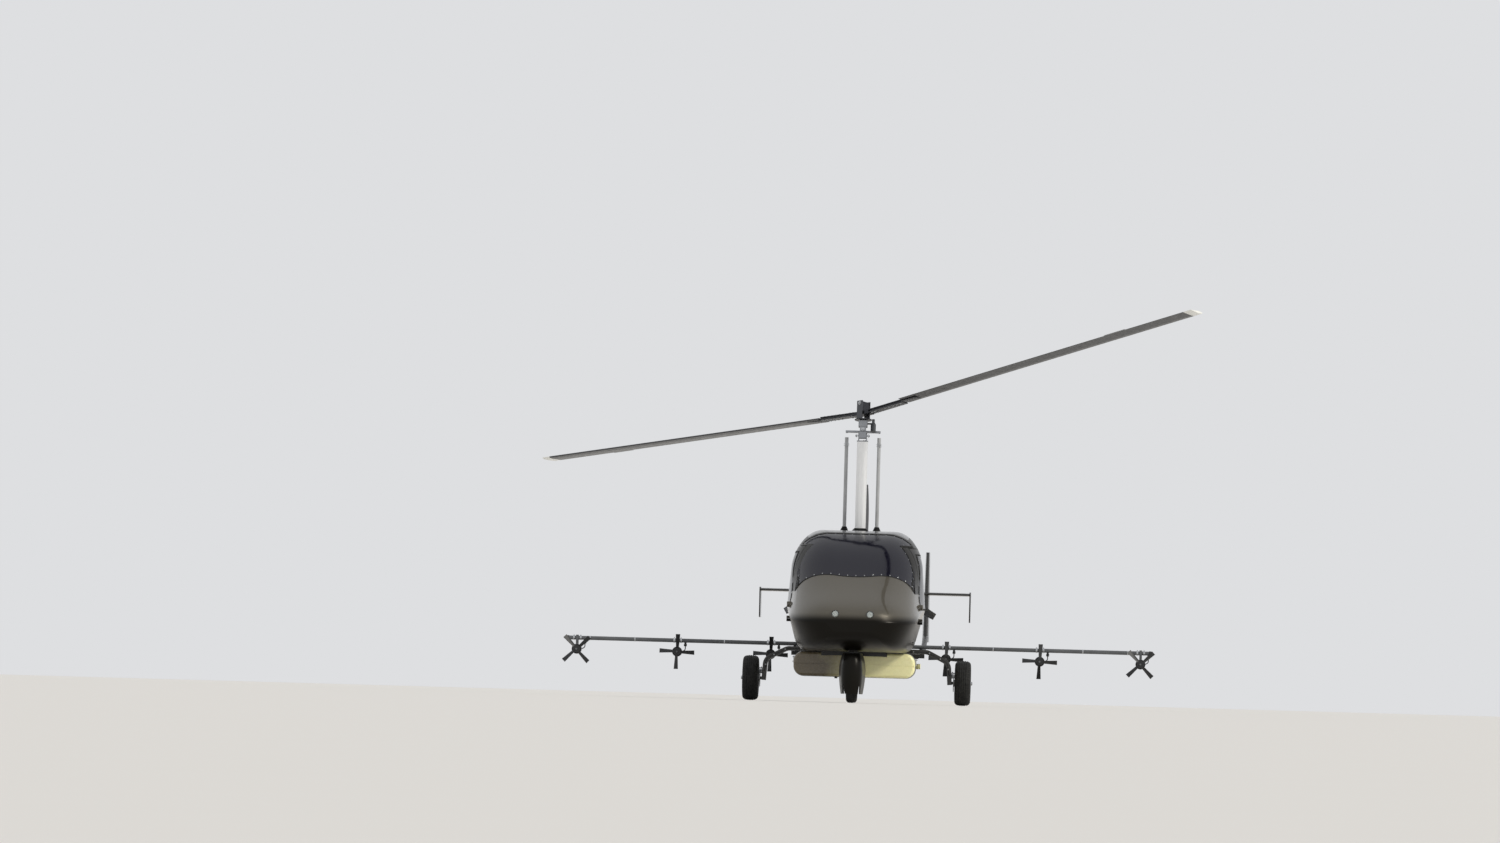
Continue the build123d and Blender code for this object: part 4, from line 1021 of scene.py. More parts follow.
def swell(bm, voxel, pressure, limit):
    """Fills a pad like foam under its cover: remesh, cloth under pressure, capped movement."""
    mesh = bpy.data.meshes.new("pad")
    bm.to_mesh(mesh)
    bm.free()
    pad = bpy.data.objects.new("pad", mesh)
    scene = bpy.context.scene
    scene.collection.objects.link(pad)
    remesh = pad.modifiers.new("remesh", "REMESH")
    remesh.mode = "VOXEL"
    remesh.voxel_size = voxel
    rest = bpy.data.meshes.new_from_object(pad.evaluated_get(bpy.context.evaluated_depsgraph_get()))
    pad.modifiers.clear()
    pad.data = rest
    before = [v.co.copy() for v in rest.vertices]
    cloth = pad.modifiers.new("cloth", "CLOTH")
    cloth.settings.use_pressure = True
    cloth.settings.uniform_pressure_force = pressure
    cloth.settings.effector_weights.gravity = 0.0
    cloth.settings.tension_stiffness = 25.0
    cloth.settings.compression_stiffness = 25.0
    cloth.point_cache.frame_start, cloth.point_cache.frame_end = 1, 20
    for step in range(1, 21):
        scene.frame_set(step)
    swollen = pad.evaluated_get(bpy.context.evaluated_depsgraph_get()).to_mesh()
    for point, was in zip(swollen.vertices, before):
        move = point.co - was
        was += move * min(1.0, limit / max(move.length, 1e-9))
    pad.modifiers.clear()
    scene.frame_set(1)
    for point, place in zip(rest.vertices, before):
        point.co = place
    pad.modifiers.new("smooth", "SUBSURF").levels = 1
    smooth = pad.evaluated_get(bpy.context.evaluated_depsgraph_get()).to_mesh()
    shaped = bmesh.new()
    shaped.from_mesh(smooth)
    bpy.data.objects.remove(pad)
    return shaped


def sew(bm, spot, channels, depth, width):
    """Presses sewn channels into a pad's top, given as distances along its length."""
    back = spot.inverted()
    for vert in bm.verts:
        place = back @ vert.co
        if place.z > 0:
            near = max(math.exp(-(((place.y - c) / width) ** 2)) for c in channels)
            place.z -= depth * near
            vert.co = spot @ place


class GYRO_OT_seats(bpy.types.Operator):
    """Makes both seats: shells on runners, swollen cushions, head pads and harnesses"""

    bl_idname = "gyro.seats"
    bl_label = "Seats"

    def execute(self, context):
        low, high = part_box("seats")
        self.front = low.y
        self.seat_x = high.x - 220 * MM
        # Name, middle behind the seat's front and height, lean, width, length, thickness, taper, channels
        pads = (
            ("seat_pan", (212, 713), 96.2, (396, 400, 44), 1.0, (-120, -40, 40, 120)),
            ("seat_back", (534, 1000), 13.9, (392, 455, 44), 0.9, (-165, -82, 0, 82, 165)),
            ("seat_head", (608, 1300), 13.9, (270, 130, 44), 0.86, (0,)),
        )
        for name, (back, z), lean, size, taper, channels in pads:
            angle = math.radians(lean)
            face = Vector((0, -math.cos(angle), math.sin(angle)))
            spot = frame_at((0, self.front + back * MM, z * MM), face)
            size = [s * MM for s in size]
            blank = swell(pad_blank(spot, size, taper, 8 * MM), 8 * MM, 4.0, 12 * MM)
            sew(blank, spot, [c * MM for c in channels], 7 * MM, 8 * MM)
            for side, sign in SIDES:
                copied = blank.copy()
                shift = Vector((sign * self.seat_x, 0, 0))
                bmesh.ops.translate(copied, verts=copied.verts, vec=shift)
                gone = ("seats",) if (name, side) == ("seat_pan", "left") else ()
                pad = new_piece(f"{name}_{side}", copied, "seat_cover", "airframe", 80, gone)
                self.pipe_edge(pad, Matrix.Translation(shift) @ spot, size)
            blank.free()
        for side, sign in SIDES:
            self.build_shell(side, sign * self.seat_x)
            self.lay_harness(side, sign * self.seat_x)
        return {"FINISHED"}

    def pipe_edge(self, pad, spot, size):
        """Piping round the pad's seam, laid on the swollen cover."""
        cover = BVHTree.FromPolygons(
            [v.co for v in pad.data.vertices], [tuple(p.vertices) for p in pad.data.polygons]
        )
        points = []
        for i in range(72):
            turn = 2 * math.pi * i / 72
            c, s = math.cos(turn), math.sin(turn)
            away = Vector(
                (math.copysign(abs(c) ** 0.3, c) * size[0], math.copysign(abs(s) ** 0.3, s) * size[1], 0)
            )
            height = Vector((0, 0, 9 * MM))
            start = spot @ (away * 0.7 + height)
            points.append(touch(cover, start, spot @ (away * 0.2 + height) - start)[0])
        bm = bmesh.new()
        pipe(bm, points, 3.5 * MM, 8, True)
        new_piece(f"{pad.name}_piping", bm, "harness_web", "airframe", 80)

    def build_shell(self, side, x):
        """The moulded shell under the pads, with rolled edges, on tubes and two runners."""
        route = [(x, self.front + y * MM, z * MM) for y, z in ((12, 690), (487, 638), (673, 1385))]
        path = bend_path(route, 130 * MM, 10)
        normals = []
        for i in range(len(path)):
            along = path[min(i + 1, len(path) - 1)] - path[max(i - 1, 0)]
            normals.append(Vector((1, 0, 0)).cross(along).normalized())
        shell = bmesh.new()
        sweep(shell, path, normals, [(-0.2, -6 * MM), (0.2, -6 * MM), (0.2, 6 * MM), (-0.2, 6 * MM)])
        for edge in (-200 * MM, 200 * MM):
            pipe(shell, [p + Vector((edge, 0, 0)) for p in path], 12 * MM, 12)
        new_piece(f"seat_shell_{side}", shell, "cabin_trim", "airframe")
        tubes = bmesh.new()
        floor_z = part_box("seats")[0].z
        for edge in (-125 * MM, 125 * MM):
            rail = Vector((x + edge, self.front, floor_z))
            block(
                tubes, frame_at(rail + Vector((0, 270 * MM, 9 * MM))), (26 * MM, 400 * MM, 18 * MM), 3 * MM
            )
            feet = [rail + Vector((0, y * MM, 15 * MM)) for y in (90, 450)]
            tops = [rail + Vector((0, y * MM, z * MM)) for y, z in ((120, 146), (420, 110))]
            for leg in ((feet[0], tops[0]), (feet[1], tops[1]), (feet[0], tops[1])):
                pipe(tubes, leg, 9 * MM, 10)
            for y in (95, 270, 445):
                hex_head(tubes, frame_at(rail + Vector((0, y * MM, 17 * MM))), 10 * MM)
        for y, z in ((120, 146), (420, 110)):
            middle = Vector((x, self.front + y * MM, floor_z + z * MM))
            pipe(tubes, [middle - Vector((0.125, 0, 0)), middle + Vector((0.125, 0, 0))], 9 * MM, 10)
        new_piece(f"seat_runners_{side}", tubes, "frame_paint", "airframe")

    def lay_harness(self, side, x):
        """Shoulder and lap webbing on the pads, meeting in a rotary buckle."""
        verts, faces = [], []
        for name in ("seat_pan", "seat_back", "seat_head"):
            mesh = bpy.data.objects[f"{name}_{side}"].data
            start = len(verts)
            verts += [v.co for v in mesh.vertices]
            faces += [tuple(start + i for i in p.vertices) for p in mesh.polygons]
        cover = BVHTree.FromPolygons(verts, faces)
        spot, normal = touch(cover, (x, self.front + 365 * MM, 1.1), (0, 0, -1))
        buckle = frame_at(spot + normal * 2 * MM, normal)
        web, metal = bmesh.new(), bmesh.new()
        for edge in (-1, 1):
            path, ups = [], []
            for i in range(15):
                t = i / 14
                start = (x + edge * (80 - 52 * t) * MM, self.front + 200 * MM, (1185 - 340 * t) * MM)
                spot, normal = touch(cover, start, (0, 1, 0))
                path.append(spot + normal * 2 * MM)
                ups.append(normal)
            path.append(buckle @ Vector((edge * 14 * MM, 24 * MM, 8 * MM)))
            ups.append((ups[-1] + buckle.to_3x3() @ UP).normalized())
            sweep(web, path, ups, pad_section(44 * MM, 2.2 * MM))
            path, ups = [], []
            for i in range(11):
                start = (x + edge * (160 - 14.2 * i) * MM, self.front + (390 - 2 * i) * MM, 1.1)
                spot, normal = touch(cover, start, (0, 0, -1))
                path.append(spot + normal * 2 * MM)
                ups.append(normal)
            sweep(web, path, ups, pad_section(44 * MM, 2.2 * MM))
        drum(metal, buckle, 32 * MM, 14 * MM, 4 * MM, 28)
        block(metal, buckle @ Matrix.Translation((0, 0, 16 * MM)), (48 * MM, 12 * MM, 7 * MM), 2 * MM)
        new_piece(f"harness_{side}", web, "harness_web", "airframe", 60)
        new_piece(f"harness_buckle_{side}", metal, "bolt_steel", "airframe")


class GYRO_OT_instruments(bpy.types.Operator):
    """Adds the glare shield, dials, screens, switches, throttle, pedals and stick grip"""

    bl_idname = "gyro.instruments"
    bl_label = "Instruments and controls"

    def execute(self, context):
        self.skin = skin_of("instrument_panel")
        low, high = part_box("instrument_panel")
        hood = bmesh.new()
        width = (high.x - low.x) / 2
        path = [
            Vector((x * width, high.y - 38 * MM - 30 * MM * x * x, high.z + 6 * MM))
            for x in [i / 12 for i in range(-11, 12)]
        ]
        sweep(
            hood,
            path,
            [UP] * len(path),
            [
                (-55 * MM, -12 * MM), (62 * MM, -16 * MM), (66 * MM, -2 * MM), (40 * MM, 9 * MM),
                (-50 * MM, 9 * MM),
            ],
        )
        new_piece("glare_shield", hood, "cabin_trim", "airframe", 60)
        self.black, self.white, self.glass, self.steel = (bmesh.new() for _ in range(4))
        for x in (-90, 0, 90):
            for z in (955, 1045):
                self.add_dial(x * MM, z * MM, 36 * MM)
        for sign in (1, -1):
            for x, width_mm in ((250, 200), (420, 96)):
                self.add_screen(sign * x * MM, 1010 * MM, width_mm * MM, 140 * MM)
        for i in range(-6, 7):
            place = self.on_panel(i * 34 * MM, 902 * MM)
            drum(self.steel, place, 7 * MM, 3 * MM, 1 * MM, 16)
            drum(self.steel, place @ Matrix.Rotation(0.35, 4, "X"), 2.4 * MM, 17 * MM, 1 * MM, 10)
        drawn = (
            ("dial_bodies", self.black, "dial_black"),
            ("dial_marks", self.white, "dial_white"),
            ("panel_screens", self.glass, "screen_glass"),
            ("panel_switches", self.steel, "bolt_steel"),
        )
        for name, bm, kind in drawn:
            new_piece(name, bm, kind, "airframe")
        self.add_controls(low, high)
        return {"FINISHED"}

    def on_panel(self, x, z):
        """A place on the panel's face towards the seats."""
        spot, normal = touch(self.skin, (x, -0.9, z), (0, -1, 0))
        return frame_at(spot, normal, Vector((-1, 0, 0)))

    def add_dial(self, x, z, radius):
        """A round instrument: bezel, face, twelve ticks and a needle."""
        place = self.on_panel(x, z)
        ring = [(radius, 0), (radius, 7 * MM), (radius * 0.9, 9 * MM), (radius * 0.84, 4 * MM), (0, 4 * MM)]
        lathe(self.black, place, ring, 36)
        for i in range(12):
            turn = place @ Matrix.Rotation(2 * math.pi * i / 12, 4, "Z")
            length = (7 if i % 3 else 10) * MM
            block(
                self.white,
                turn @ Matrix.Translation((0, radius * 0.78 - length / 2, 4.4 * MM)),
                (1.6 * MM, length, 0.6 * MM),
            )
        needle = place @ Matrix.Rotation(x * 9 + z * 7, 4, "Z") @ Matrix.Translation(
            (0, radius * 0.25, 5 * MM)
        )
        block(self.white, needle, (2 * MM, radius * 0.8, 0.6 * MM))
        drum(self.black, place @ Matrix.Translation((0, 0, 4 * MM)), 4.5 * MM, 3 * MM, 1 * MM, 16)

    def add_screen(self, x, z, width, height):
        """A display in its bezel, with a row of keys below it."""
        place = self.on_panel(x, z)
        block(self.black, place @ Matrix.Translation((0, 0, 5 * MM)), (width, height, 14 * MM), 4 * MM)
        block(
            self.glass,
            place @ Matrix.Translation((0, 8 * MM, 12 * MM)),
            (width - 18 * MM, height - 34 * MM, 2 * MM),
            0.8 * MM,
        )
        for i in range(5):
            share = (i - 2) / 5
            block(
                self.steel,
                place @ Matrix.Translation((share * width, 13 * MM - height / 2, 13 * MM)),
                (width * 0.1, 7 * MM, 5 * MM),
                1 * MM,
            )

    def add_controls(self, low, high):
        """Throttle on the pedestal, pedals in the footwells, boot and grip of the stick."""
        trim, metal, knob = bmesh.new(), bmesh.new(), bmesh.new()
        back = high.y - 35 * MM
        for sign in (1, -1):
            for edge in (-78 * MM, 78 * MM):
                x, y = sign * 262 * MM + edge, low.y - 10 * MM
                pipe(
                    metal,
                    bend_path(
                        [(x, y + 30 * MM, 538 * MM), (x, y, 580 * MM), (x, y - 12 * MM, 655 * MM)], 20 * MM
                    ),
                    7 * MM,
                    10,
                )
                pad = frame_at((x, y - 2 * MM, 655 * MM), Vector((0, 1, 0.18)))
                block(trim, pad, (84 * MM, 96 * MM, 12 * MM), 4 * MM)
                for i in range(5):
                    block(
                        trim,
                        pad @ Matrix.Translation((0, (i - 2) * 17 * MM, 7 * MM)),
                        (76 * MM, 6 * MM, 5 * MM),
                        1.5 * MM,
                    )
        quadrant = frame_at((0, back + 14 * MM, 760 * MM))
        block(trim, quadrant, (96 * MM, 52 * MM, 120 * MM), 8 * MM)
        for x, lean, top in ((-22 * MM, 0.25, 130 * MM), (22 * MM, -0.1, 110 * MM)):
            spot = quadrant @ Matrix.Translation(
                (x, 20 * MM, 30 * MM)
            ) @ Matrix.Rotation(lean - 0.6, 4, "X")
            drum(metal, spot, 5 * MM, top, 1 * MM, 12)
            lathe(knob if x < 0 else trim, spot @ Matrix.Translation((0, 0, top - 6 * MM)),
                  [(0, 0), (12 * MM, 2 * MM), (17 * MM, 14 * MM), (13 * MM, 26 * MM), (0, 30 * MM)], 24)
        stick_low, stick_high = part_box("control_stick")
        stick = frame_at(((stick_low.x + stick_high.x) / 2, (stick_low.y + stick_high.y) / 2, stick_low.z))
        folds = [(40 - 3.2 * i + (4 if i % 2 else -2), 40 + 9 * i) for i in range(9)]
        lathe(
            trim,
            stick,
            [(11.5 * MM, 38 * MM)] + [(r * MM, h * MM) for r, h in folds] + [(11.5 * MM, 122 * MM)],
            28,
        )
        for i in range(5):
            lathe(trim, stick @ Matrix.Translation((0, 0, (398 + 17 * i) * MM)),
                  [(20 * MM, 0), (22.5 * MM, 3 * MM), (22.5 * MM, 8 * MM), (20 * MM, 11 * MM)], 28)
        for x in (-9 * MM, 9 * MM):
            drum(knob, stick @ Matrix.Translation((x, 0, 500 * MM)), 5 * MM, 5 * MM, 1 * MM, 14)
        new_piece("control_trim", trim, "cabin_trim", "airframe")
        new_piece("control_levers", metal, "head_alloy", "airframe")
        new_piece("control_knobs", knob, "knob_red", "airframe")


def bridge(t, reach, first, first_slope, last, last_slope):
    """A smooth value between two ends, leaving and meeting them at their own slopes."""
    return (
        first * (2 * t**3 - 3 * t**2 + 1)
        + first_slope * reach * (t**3 - 2 * t**2 + t)
        + last * (3 * t**2 - 2 * t**3)
        + last_slope * reach * (t**3 - t**2)
    )


class SideForm:
    """The cabin's outer side, read from its sheets and carried on where a sheet has a hole."""

    def __init__(self, side, sign):
        self.sign = sign
        self.skins = [
            skin_of(node) for node in ("cabin_hull", f"door_{side}", f"door_glass_{side}", "engine_cowl")
        ]

    def read(self, y, z):
        """Half width where a sheet is there, or None."""
        start, inward = Vector((self.sign * 1.2, y, z)), Vector((-self.sign, 0, 0))
        spots = [skin.ray_cast(start, inward, 0.95)[0] for skin in self.skins]
        return max((spot.x * self.sign for spot in spots if spot is not None), default=None)

    def out(self, y, z):
        """Half width, curved on between the sound places before and behind a hole."""
        here = self.read(y, z)
        if here is not None:
            return here
        step, span = 10 * MM, 30 * MM
        ends = []
        for way in (-1, 1):
            at = y
            while self.read(at, z) is None or self.read(at + way * span, z) is None:
                at += way * step
                if abs(at - y) > 1:
                    raise RuntimeError(f"no sound skin beside y {y:.3f}, z {z:.3f}")
            value = self.read(at, z)
            ends.append((at, value, (self.read(at + way * span, z) - value) / (way * span)))
        (a, low, rise), (b, high, fall) = ends
        return bridge((y - a) / (b - a), b - a, low, rise, high, fall)

    def spot(self, y, z, lift=0.0):
        """The place on the side, lifted outward."""
        return Vector((self.sign * (self.out(y, z) + lift), y, z))

    def normal(self, y, z):
        """The side's outward normal."""
        d = 4 * MM
        along = self.spot(y + d, z) - self.spot(y - d, z)
        rise = self.spot(y, z + d) - self.spot(y, z - d)
        return (along.cross(rise) * self.sign).normalized()

    def sheet(self, bm, columns, rows, thickness, lift=0.0, inside=None):
        """A sheet over a grid whose rows are heights and whose columns are places along Y."""
        outer = [[bm.verts.new(self.spot(y, z, lift)) for y in columns(z)] for z in rows]
        inner = [[bm.verts.new(v.co - Vector((self.sign * thickness, 0, 0))) for v in row] for row in outer]
        faces = set()
        for j in range(len(rows) - 1):
            for i in range(len(outer[0]) - 1):
                middle = (outer[j][i].co + outer[j + 1][i + 1].co) / 2
                if inside is None or inside(middle.y, middle.z):
                    faces.add((j, i))
        for j, i in faces:
            ring = [(j, i), (j, i + 1), (j + 1, i + 1), (j + 1, i)]
            bm.faces.new([outer[b][a] for b, a in ring])
            bm.faces.new([inner[b][a] for b, a in reversed(ring)])
            beside = [(j - 1, i), (j, i + 1), (j + 1, i), (j, i - 1)]
            for k, cell in enumerate(beside):
                if cell not in faces:
                    (b, a), (d, c) = ring[k], ring[(k + 1) % 4]
                    bm.faces.new([outer[d][c], outer[b][a], inner[b][a], inner[d][c]])
        bmesh.ops.delete(bm, geom=[v for v in bm.verts if not v.link_faces], context="VERTS")


def spread(low, high, step):
    """Even values from one to the other, about a step apart."""
    count = max(1, round(abs(high - low) / step))
    return [low + (high - low) * i / count for i in range(count + 1)]


def window_columns(z):
    """Even places across the door window, whose front edge is upright at first and then raked back."""
    raked = max(0.0, (z - WINDOW_RAKE) / (WINDOW_HEAD - WINDOW_RAKE))
    front = WINDOW_FRONT + (WINDOW_HEAD_FRONT - WINDOW_FRONT) * raked
    count = 30
    return [front + (WINDOW_BACK - front) * i / count for i in range(count + 1)]


class GYRO_OT_cabin_sides(bpy.types.Operator):
    """Closes the cabin's sides with door windows, door posts, skin behind the doors and windscreen corners"""

    bl_idname = "gyro.cabin_sides"
    bl_label = "Cabin sides"

    def execute(self, context):
        glass_thickness, wall, lift = 6 * MM, 20 * MM, 0.3 * MM
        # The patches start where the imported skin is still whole
        post_front, post_low, strip_back, strip_low, strip_top = -0.70, 0.755, -0.385, 0.74, 1.56
        window_rows = spread(WINDOW_SILL, WINDOW_HEAD, 18 * MM)
        post_columns = spread(
            post_front, WINDOW_BACK, 11 * MM
        ) + spread(WINDOW_BACK, DOOR_BACK, 10 * MM)[1:]
        post_rows = spread(post_low, WINDOW_SILL, 15 * MM)
        post_rows += spread(WINDOW_SILL, WINDOW_HEAD, 15 * MM)[1:]
        post_rows += spread(WINDOW_HEAD, DOOR_TOP, 10 * MM)[1:]
        strip_columns = spread(HULL_OPENING_BACK, strip_back, 10 * MM)
        strip_rows = spread(strip_low, strip_top, 15 * MM)

        def beside_window(y, z):
            return y > WINDOW_BACK or not WINDOW_SILL < z < WINDOW_HEAD

        for side, sign in SIDES:
            form = SideForm(side, sign)
            door_body = f"door_{side}"
            glass, door, hull, corner = (bmesh.new() for _ in range(4))
            form.sheet(glass, window_columns, window_rows, glass_thickness)
            replaced = (f"door_glass_{side}",)
            new_piece(f"door_window_{side}", glass, "tinted_glass", door_body, 50, replaced)
            form.sheet(door, lambda z: post_columns, post_rows, wall, lift, beside_window)
            new_piece(f"door_post_{side}", door, "body_paint", door_body, 50)
            form.sheet(hull, lambda z: strip_columns, strip_rows, wall, lift)
            new_piece(f"cabin_corner_{side}", hull, "body_paint", "airframe", 50)
            self.add_windscreen_corner(corner, sign)
            new_piece(f"windscreen_corner_{side}", corner, "tinted_glass", "airframe", 50)
        return {"FINISHED"}

    def add_windscreen_corner(self, bm, sign):
        """The strip of windscreen along its lower back corner, bridging from the hull to the glass."""
        hull, screen = skin_of("cabin_hull"), skin_of("windscreen")

        def fall(skin, x, y):
            return skin.ray_cast(Vector((sign * x, y, 2.0)), Vector((0, 0, -1)))[0]

        front, back, lowest = -1.60, -1.30, 0.9
        # Half widths: two places on the sound hull, two on the sound glass, and the strip's outer edge
        hull_far, hull_near, glass_near, glass_far, edge = 0.604, 0.594, 0.552, 0.542, 0.580
        probe, column, columns = 10 * MM, 5 * MM, 7
        reach = 42 * MM
        rows = []
        for y in spread(front, back, 10 * MM):
            hits = [fall(hull, hull_far, y), fall(hull, hull_near, y)]
            hits += [fall(screen, glass_near, y), fall(screen, glass_far, y)]
            if None in hits or min(hit.z for hit in hits) < lowest:
                continue
            hull_before, hull_z, glass_z, glass_after = (hit.z for hit in hits)
            row = []
            for i in range(columns):
                x = edge - i * column
                rise, fade = (hull_z - hull_before) / probe, (glass_after - glass_z) / probe
                z = bridge((hull_near - x) / reach, reach, hull_z, rise, glass_z, fade)
                row.append(bm.verts.new((sign * x, y, z)))
            rows.append(row)
        for first, second in zip(rows, rows[1:]):
            for i in range(columns - 1):
                bm.faces.new([first[i], first[i + 1], second[i + 1], second[i]])
        bmesh.ops.solidify(bm, geom=bm.faces[:], thickness=5 * MM)


class GYRO_OT_cabin_trim(bpy.types.Operator):
    """Adds rubber seals and screws round the windows, door handles and cowl fasteners"""

    bl_idname = "gyro.cabin_trim"
    bl_label = "Cabin trim"

    def execute(self, context):
        seal = context.scene.gyro_sizes.gasket
        cabin_middle = centre_of("cabin_hull")
        path = even_path(*edge_loop("windscreen", cabin_middle), 14 * MM)
        self.add_seal("windscreen", "airframe", path, seal * 2.4, 80 * MM)
        for side, sign in SIDES:
            path = self.window_path(SideForm(side, sign))
            self.add_seal(f"door_glass_{side}", f"door_{side}", path, seal * 2, 95 * MM)
            self.add_handle(side, sign)
        self.add_fasteners()
        return {"FINISHED"}

    def window_path(self, form):
        """The closed path round a door window, with the side's normals."""
        corners = [
            (WINDOW_FRONT, WINDOW_SILL),
            (WINDOW_FRONT, WINDOW_RAKE),
            (WINDOW_HEAD_FRONT, WINDOW_HEAD),
            (WINDOW_BACK, WINDOW_HEAD),
            (WINDOW_BACK, WINDOW_SILL),
        ]
        path, ups = [], []
        for (y, z), (next_y, next_z) in zip(corners, corners[1:] + corners[:1]):
            for t in spread(0, 1, 14 * MM / math.hypot(next_y - y, next_z - z))[:-1]:
                at = (y + (next_y - y) * t, z + (next_z - z) * t)
                path.append(form.spot(*at))
                ups.append(form.normal(*at))
        return path, ups

    def add_seal(self, node, body, path_and_ups, width, pitch):
        """A rubber seal over the edge of a window, and screws in the window beside it."""
        path, ups = path_and_ups
        rubber, steel = bmesh.new(), bmesh.new()
        sweep(rubber, path, ups, pad_section(width, 4 * MM), True)
        every = max(2, round(pitch / (14 * MM)))
        inside = sum(path, Vector()) / len(path)
        for i in range(0, len(path), every):
            along = (path[(i + 1) % len(path)] - path[i - 1]).normalized()
            across = along.cross(ups[i])
            inward = across if across.dot(inside - path[i]) > 0 else -across
            screw_head(
                steel, frame_at(path[i] + inward * (width / 2 + 9 * MM) + ups[i] * 0.3 * MM, ups[i]), 5 * MM
            )
        new_piece(f"{node}_seal", rubber, "soft_rubber", body, 50)
        new_piece(f"{node}_screws", steel, "bolt_steel", body)

    def add_handle(self, side, sign):
        """A flat paddle handle with its lock, standing on the door below the back of its window."""
        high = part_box(f"door_{side}")[1]
        skin = skin_of(f"door_{side}")
        spot = on_skin(skin, (sign * 1.2, high.y - 190 * MM, 0.85), (-sign, 0, 0), (0, 1, 0))
        black, steel = bmesh.new(), bmesh.new()
        block(black, spot, (128 * MM, 52 * MM, 8 * MM), 3 * MM, 3)
        block(black, moved(spot, -6, 2, 7), (96 * MM, 30 * MM, 9 * MM), 4 * MM, 3)
        drum(steel, moved(spot, 48, -8, 3), 8 * MM, 4 * MM, 1 * MM, 20)
        # A dark bar on the lock's face stands for its keyway: painted shade instead of a slot
        block(black, moved(spot, 48, -8, 7), (2 * MM, 9 * MM, 1 * MM))
        new_piece(f"door_handle_{side}", black, "cabin_trim", f"door_{side}")
        new_piece(f"door_lock_{side}", steel, "bolt_steel", f"door_{side}")

    def add_fasteners(self):
        """Quarter-turn fasteners along the cowl's front edge, and louvres in its sides."""
        skin = skin_of("engine_cowl")
        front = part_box("engine_cowl")[0].y
        steel, dark = bmesh.new(), bmesh.new()
        for sign in (1, -1):
            for z in (620, 770, 920, 1070, 1220, 1370, 1510):
                spot = on_skin(skin, (sign * 1.2, front + 28 * MM, z * MM), (-sign, 0, 0))
                lathe(steel, spot, [(9 * MM, 0), (9 * MM, 1.2 * MM), (7 * MM, 2.4 * MM), (0, 2.4 * MM)], 20)
                # A dark bar on each fastener's head stands for its slot: painted shade instead of a cut groove
                block(dark, moved(spot, 0, 0, 2.4), (11 * MM, 1.8 * MM, 1 * MM))
            for i in range(7):
                start = (sign * 1.2, front + (230 + 44 * i) * MM, 1.17)
                spot = on_skin(skin, start, (-sign, 0, 0), (0, 0, 1))
                edge = moved(spot, 0, 0, 1) @ Matrix.Rotation(math.radians(-22 * sign), 4, "X")
                block(dark, edge, (150 * MM, 26 * MM, 9 * MM), 3 * MM, 3)
        new_piece("cowl_fasteners", steel, "bolt_steel", "airframe")
        new_piece("cowl_louvres", dark, "soft_rubber", "airframe")


class GYRO_OT_mast_fittings(bpy.types.Operator):
    """Adds the boots on the roof, the mast's conduit with its clamps and the push rods' ends"""

    bl_idname = "gyro.mast_fittings"
    bl_label = "Mast fittings"

    def execute(self, context):
        low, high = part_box("mast")
        middle = (low + high) / 2
        cowl = skin_of("engine_cowl")
        rubber, cable, steel = bmesh.new(), bmesh.new(), bmesh.new()
        top = touch(cowl, (middle.x + 90 * MM, middle.y, 2.2), (0, 0, -1))[0].z
        for rise, grow in ((4, 26), (14, 18), (24, 8)):
            size = (high.x - low.x + 2 * grow * MM, high.y - low.y + 2 * grow * MM, 11 * MM)
            block(rubber, frame_at((middle.x, middle.y, top + rise * MM)), size, 4 * MM, 3)
        rod_low, rod_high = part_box("push_rods")
        rod_y = rod_low.y + 43 * MM
        for sign in (1, -1):
            rod_x = sign * (rod_high.x - 18 * MM)
            foot = touch(cowl, (rod_x + 70 * MM, rod_y, 2.2), (0, 0, -1))[0]
            foot.x = rod_x
            folds = [(46 - 3 * i - (5 if i % 2 else 0), 2 + 7 * i) for i in range(8)]
            lathe(rubber, frame_at(foot), [(r * MM, h * MM) for r, h in folds] + [(18 * MM, 52 * MM)], 28)
            eye = Vector((rod_x, rod_y, rod_high.z - 18 * MM))
            for z in (-70, -52):
                hex_head(steel, frame_at(eye + Vector((0, 0, z * MM))), 34 * MM)
        back = high.y + 6 * MM
        wire = [
            (0.024, back, top), (0.024, back, high.z - 60 * MM), (0.024, back + 20 * MM, high.z + 20 * MM)
        ]
        pipe(cable, bend_path(wire, 60 * MM), 5.5 * MM, 10)
        pipe(cable, bend_path([(x - 16 * MM, y, z) for x, y, z in wire], 60 * MM), 4 * MM, 8)
        for z in (1820, 1990, 2160, 2330, 2500):
            block(steel, frame_at((16 * MM, back, z * MM)), (42 * MM, 13 * MM, 12 * MM), 2 * MM)
        new_piece("mast_boots", rubber, "soft_rubber", "airframe", 50)
        new_piece("mast_conduit", cable, "hose_rubber", "airframe")
        new_piece("mast_clamps", steel, "bolt_steel", "airframe")
        return {"FINISHED"}


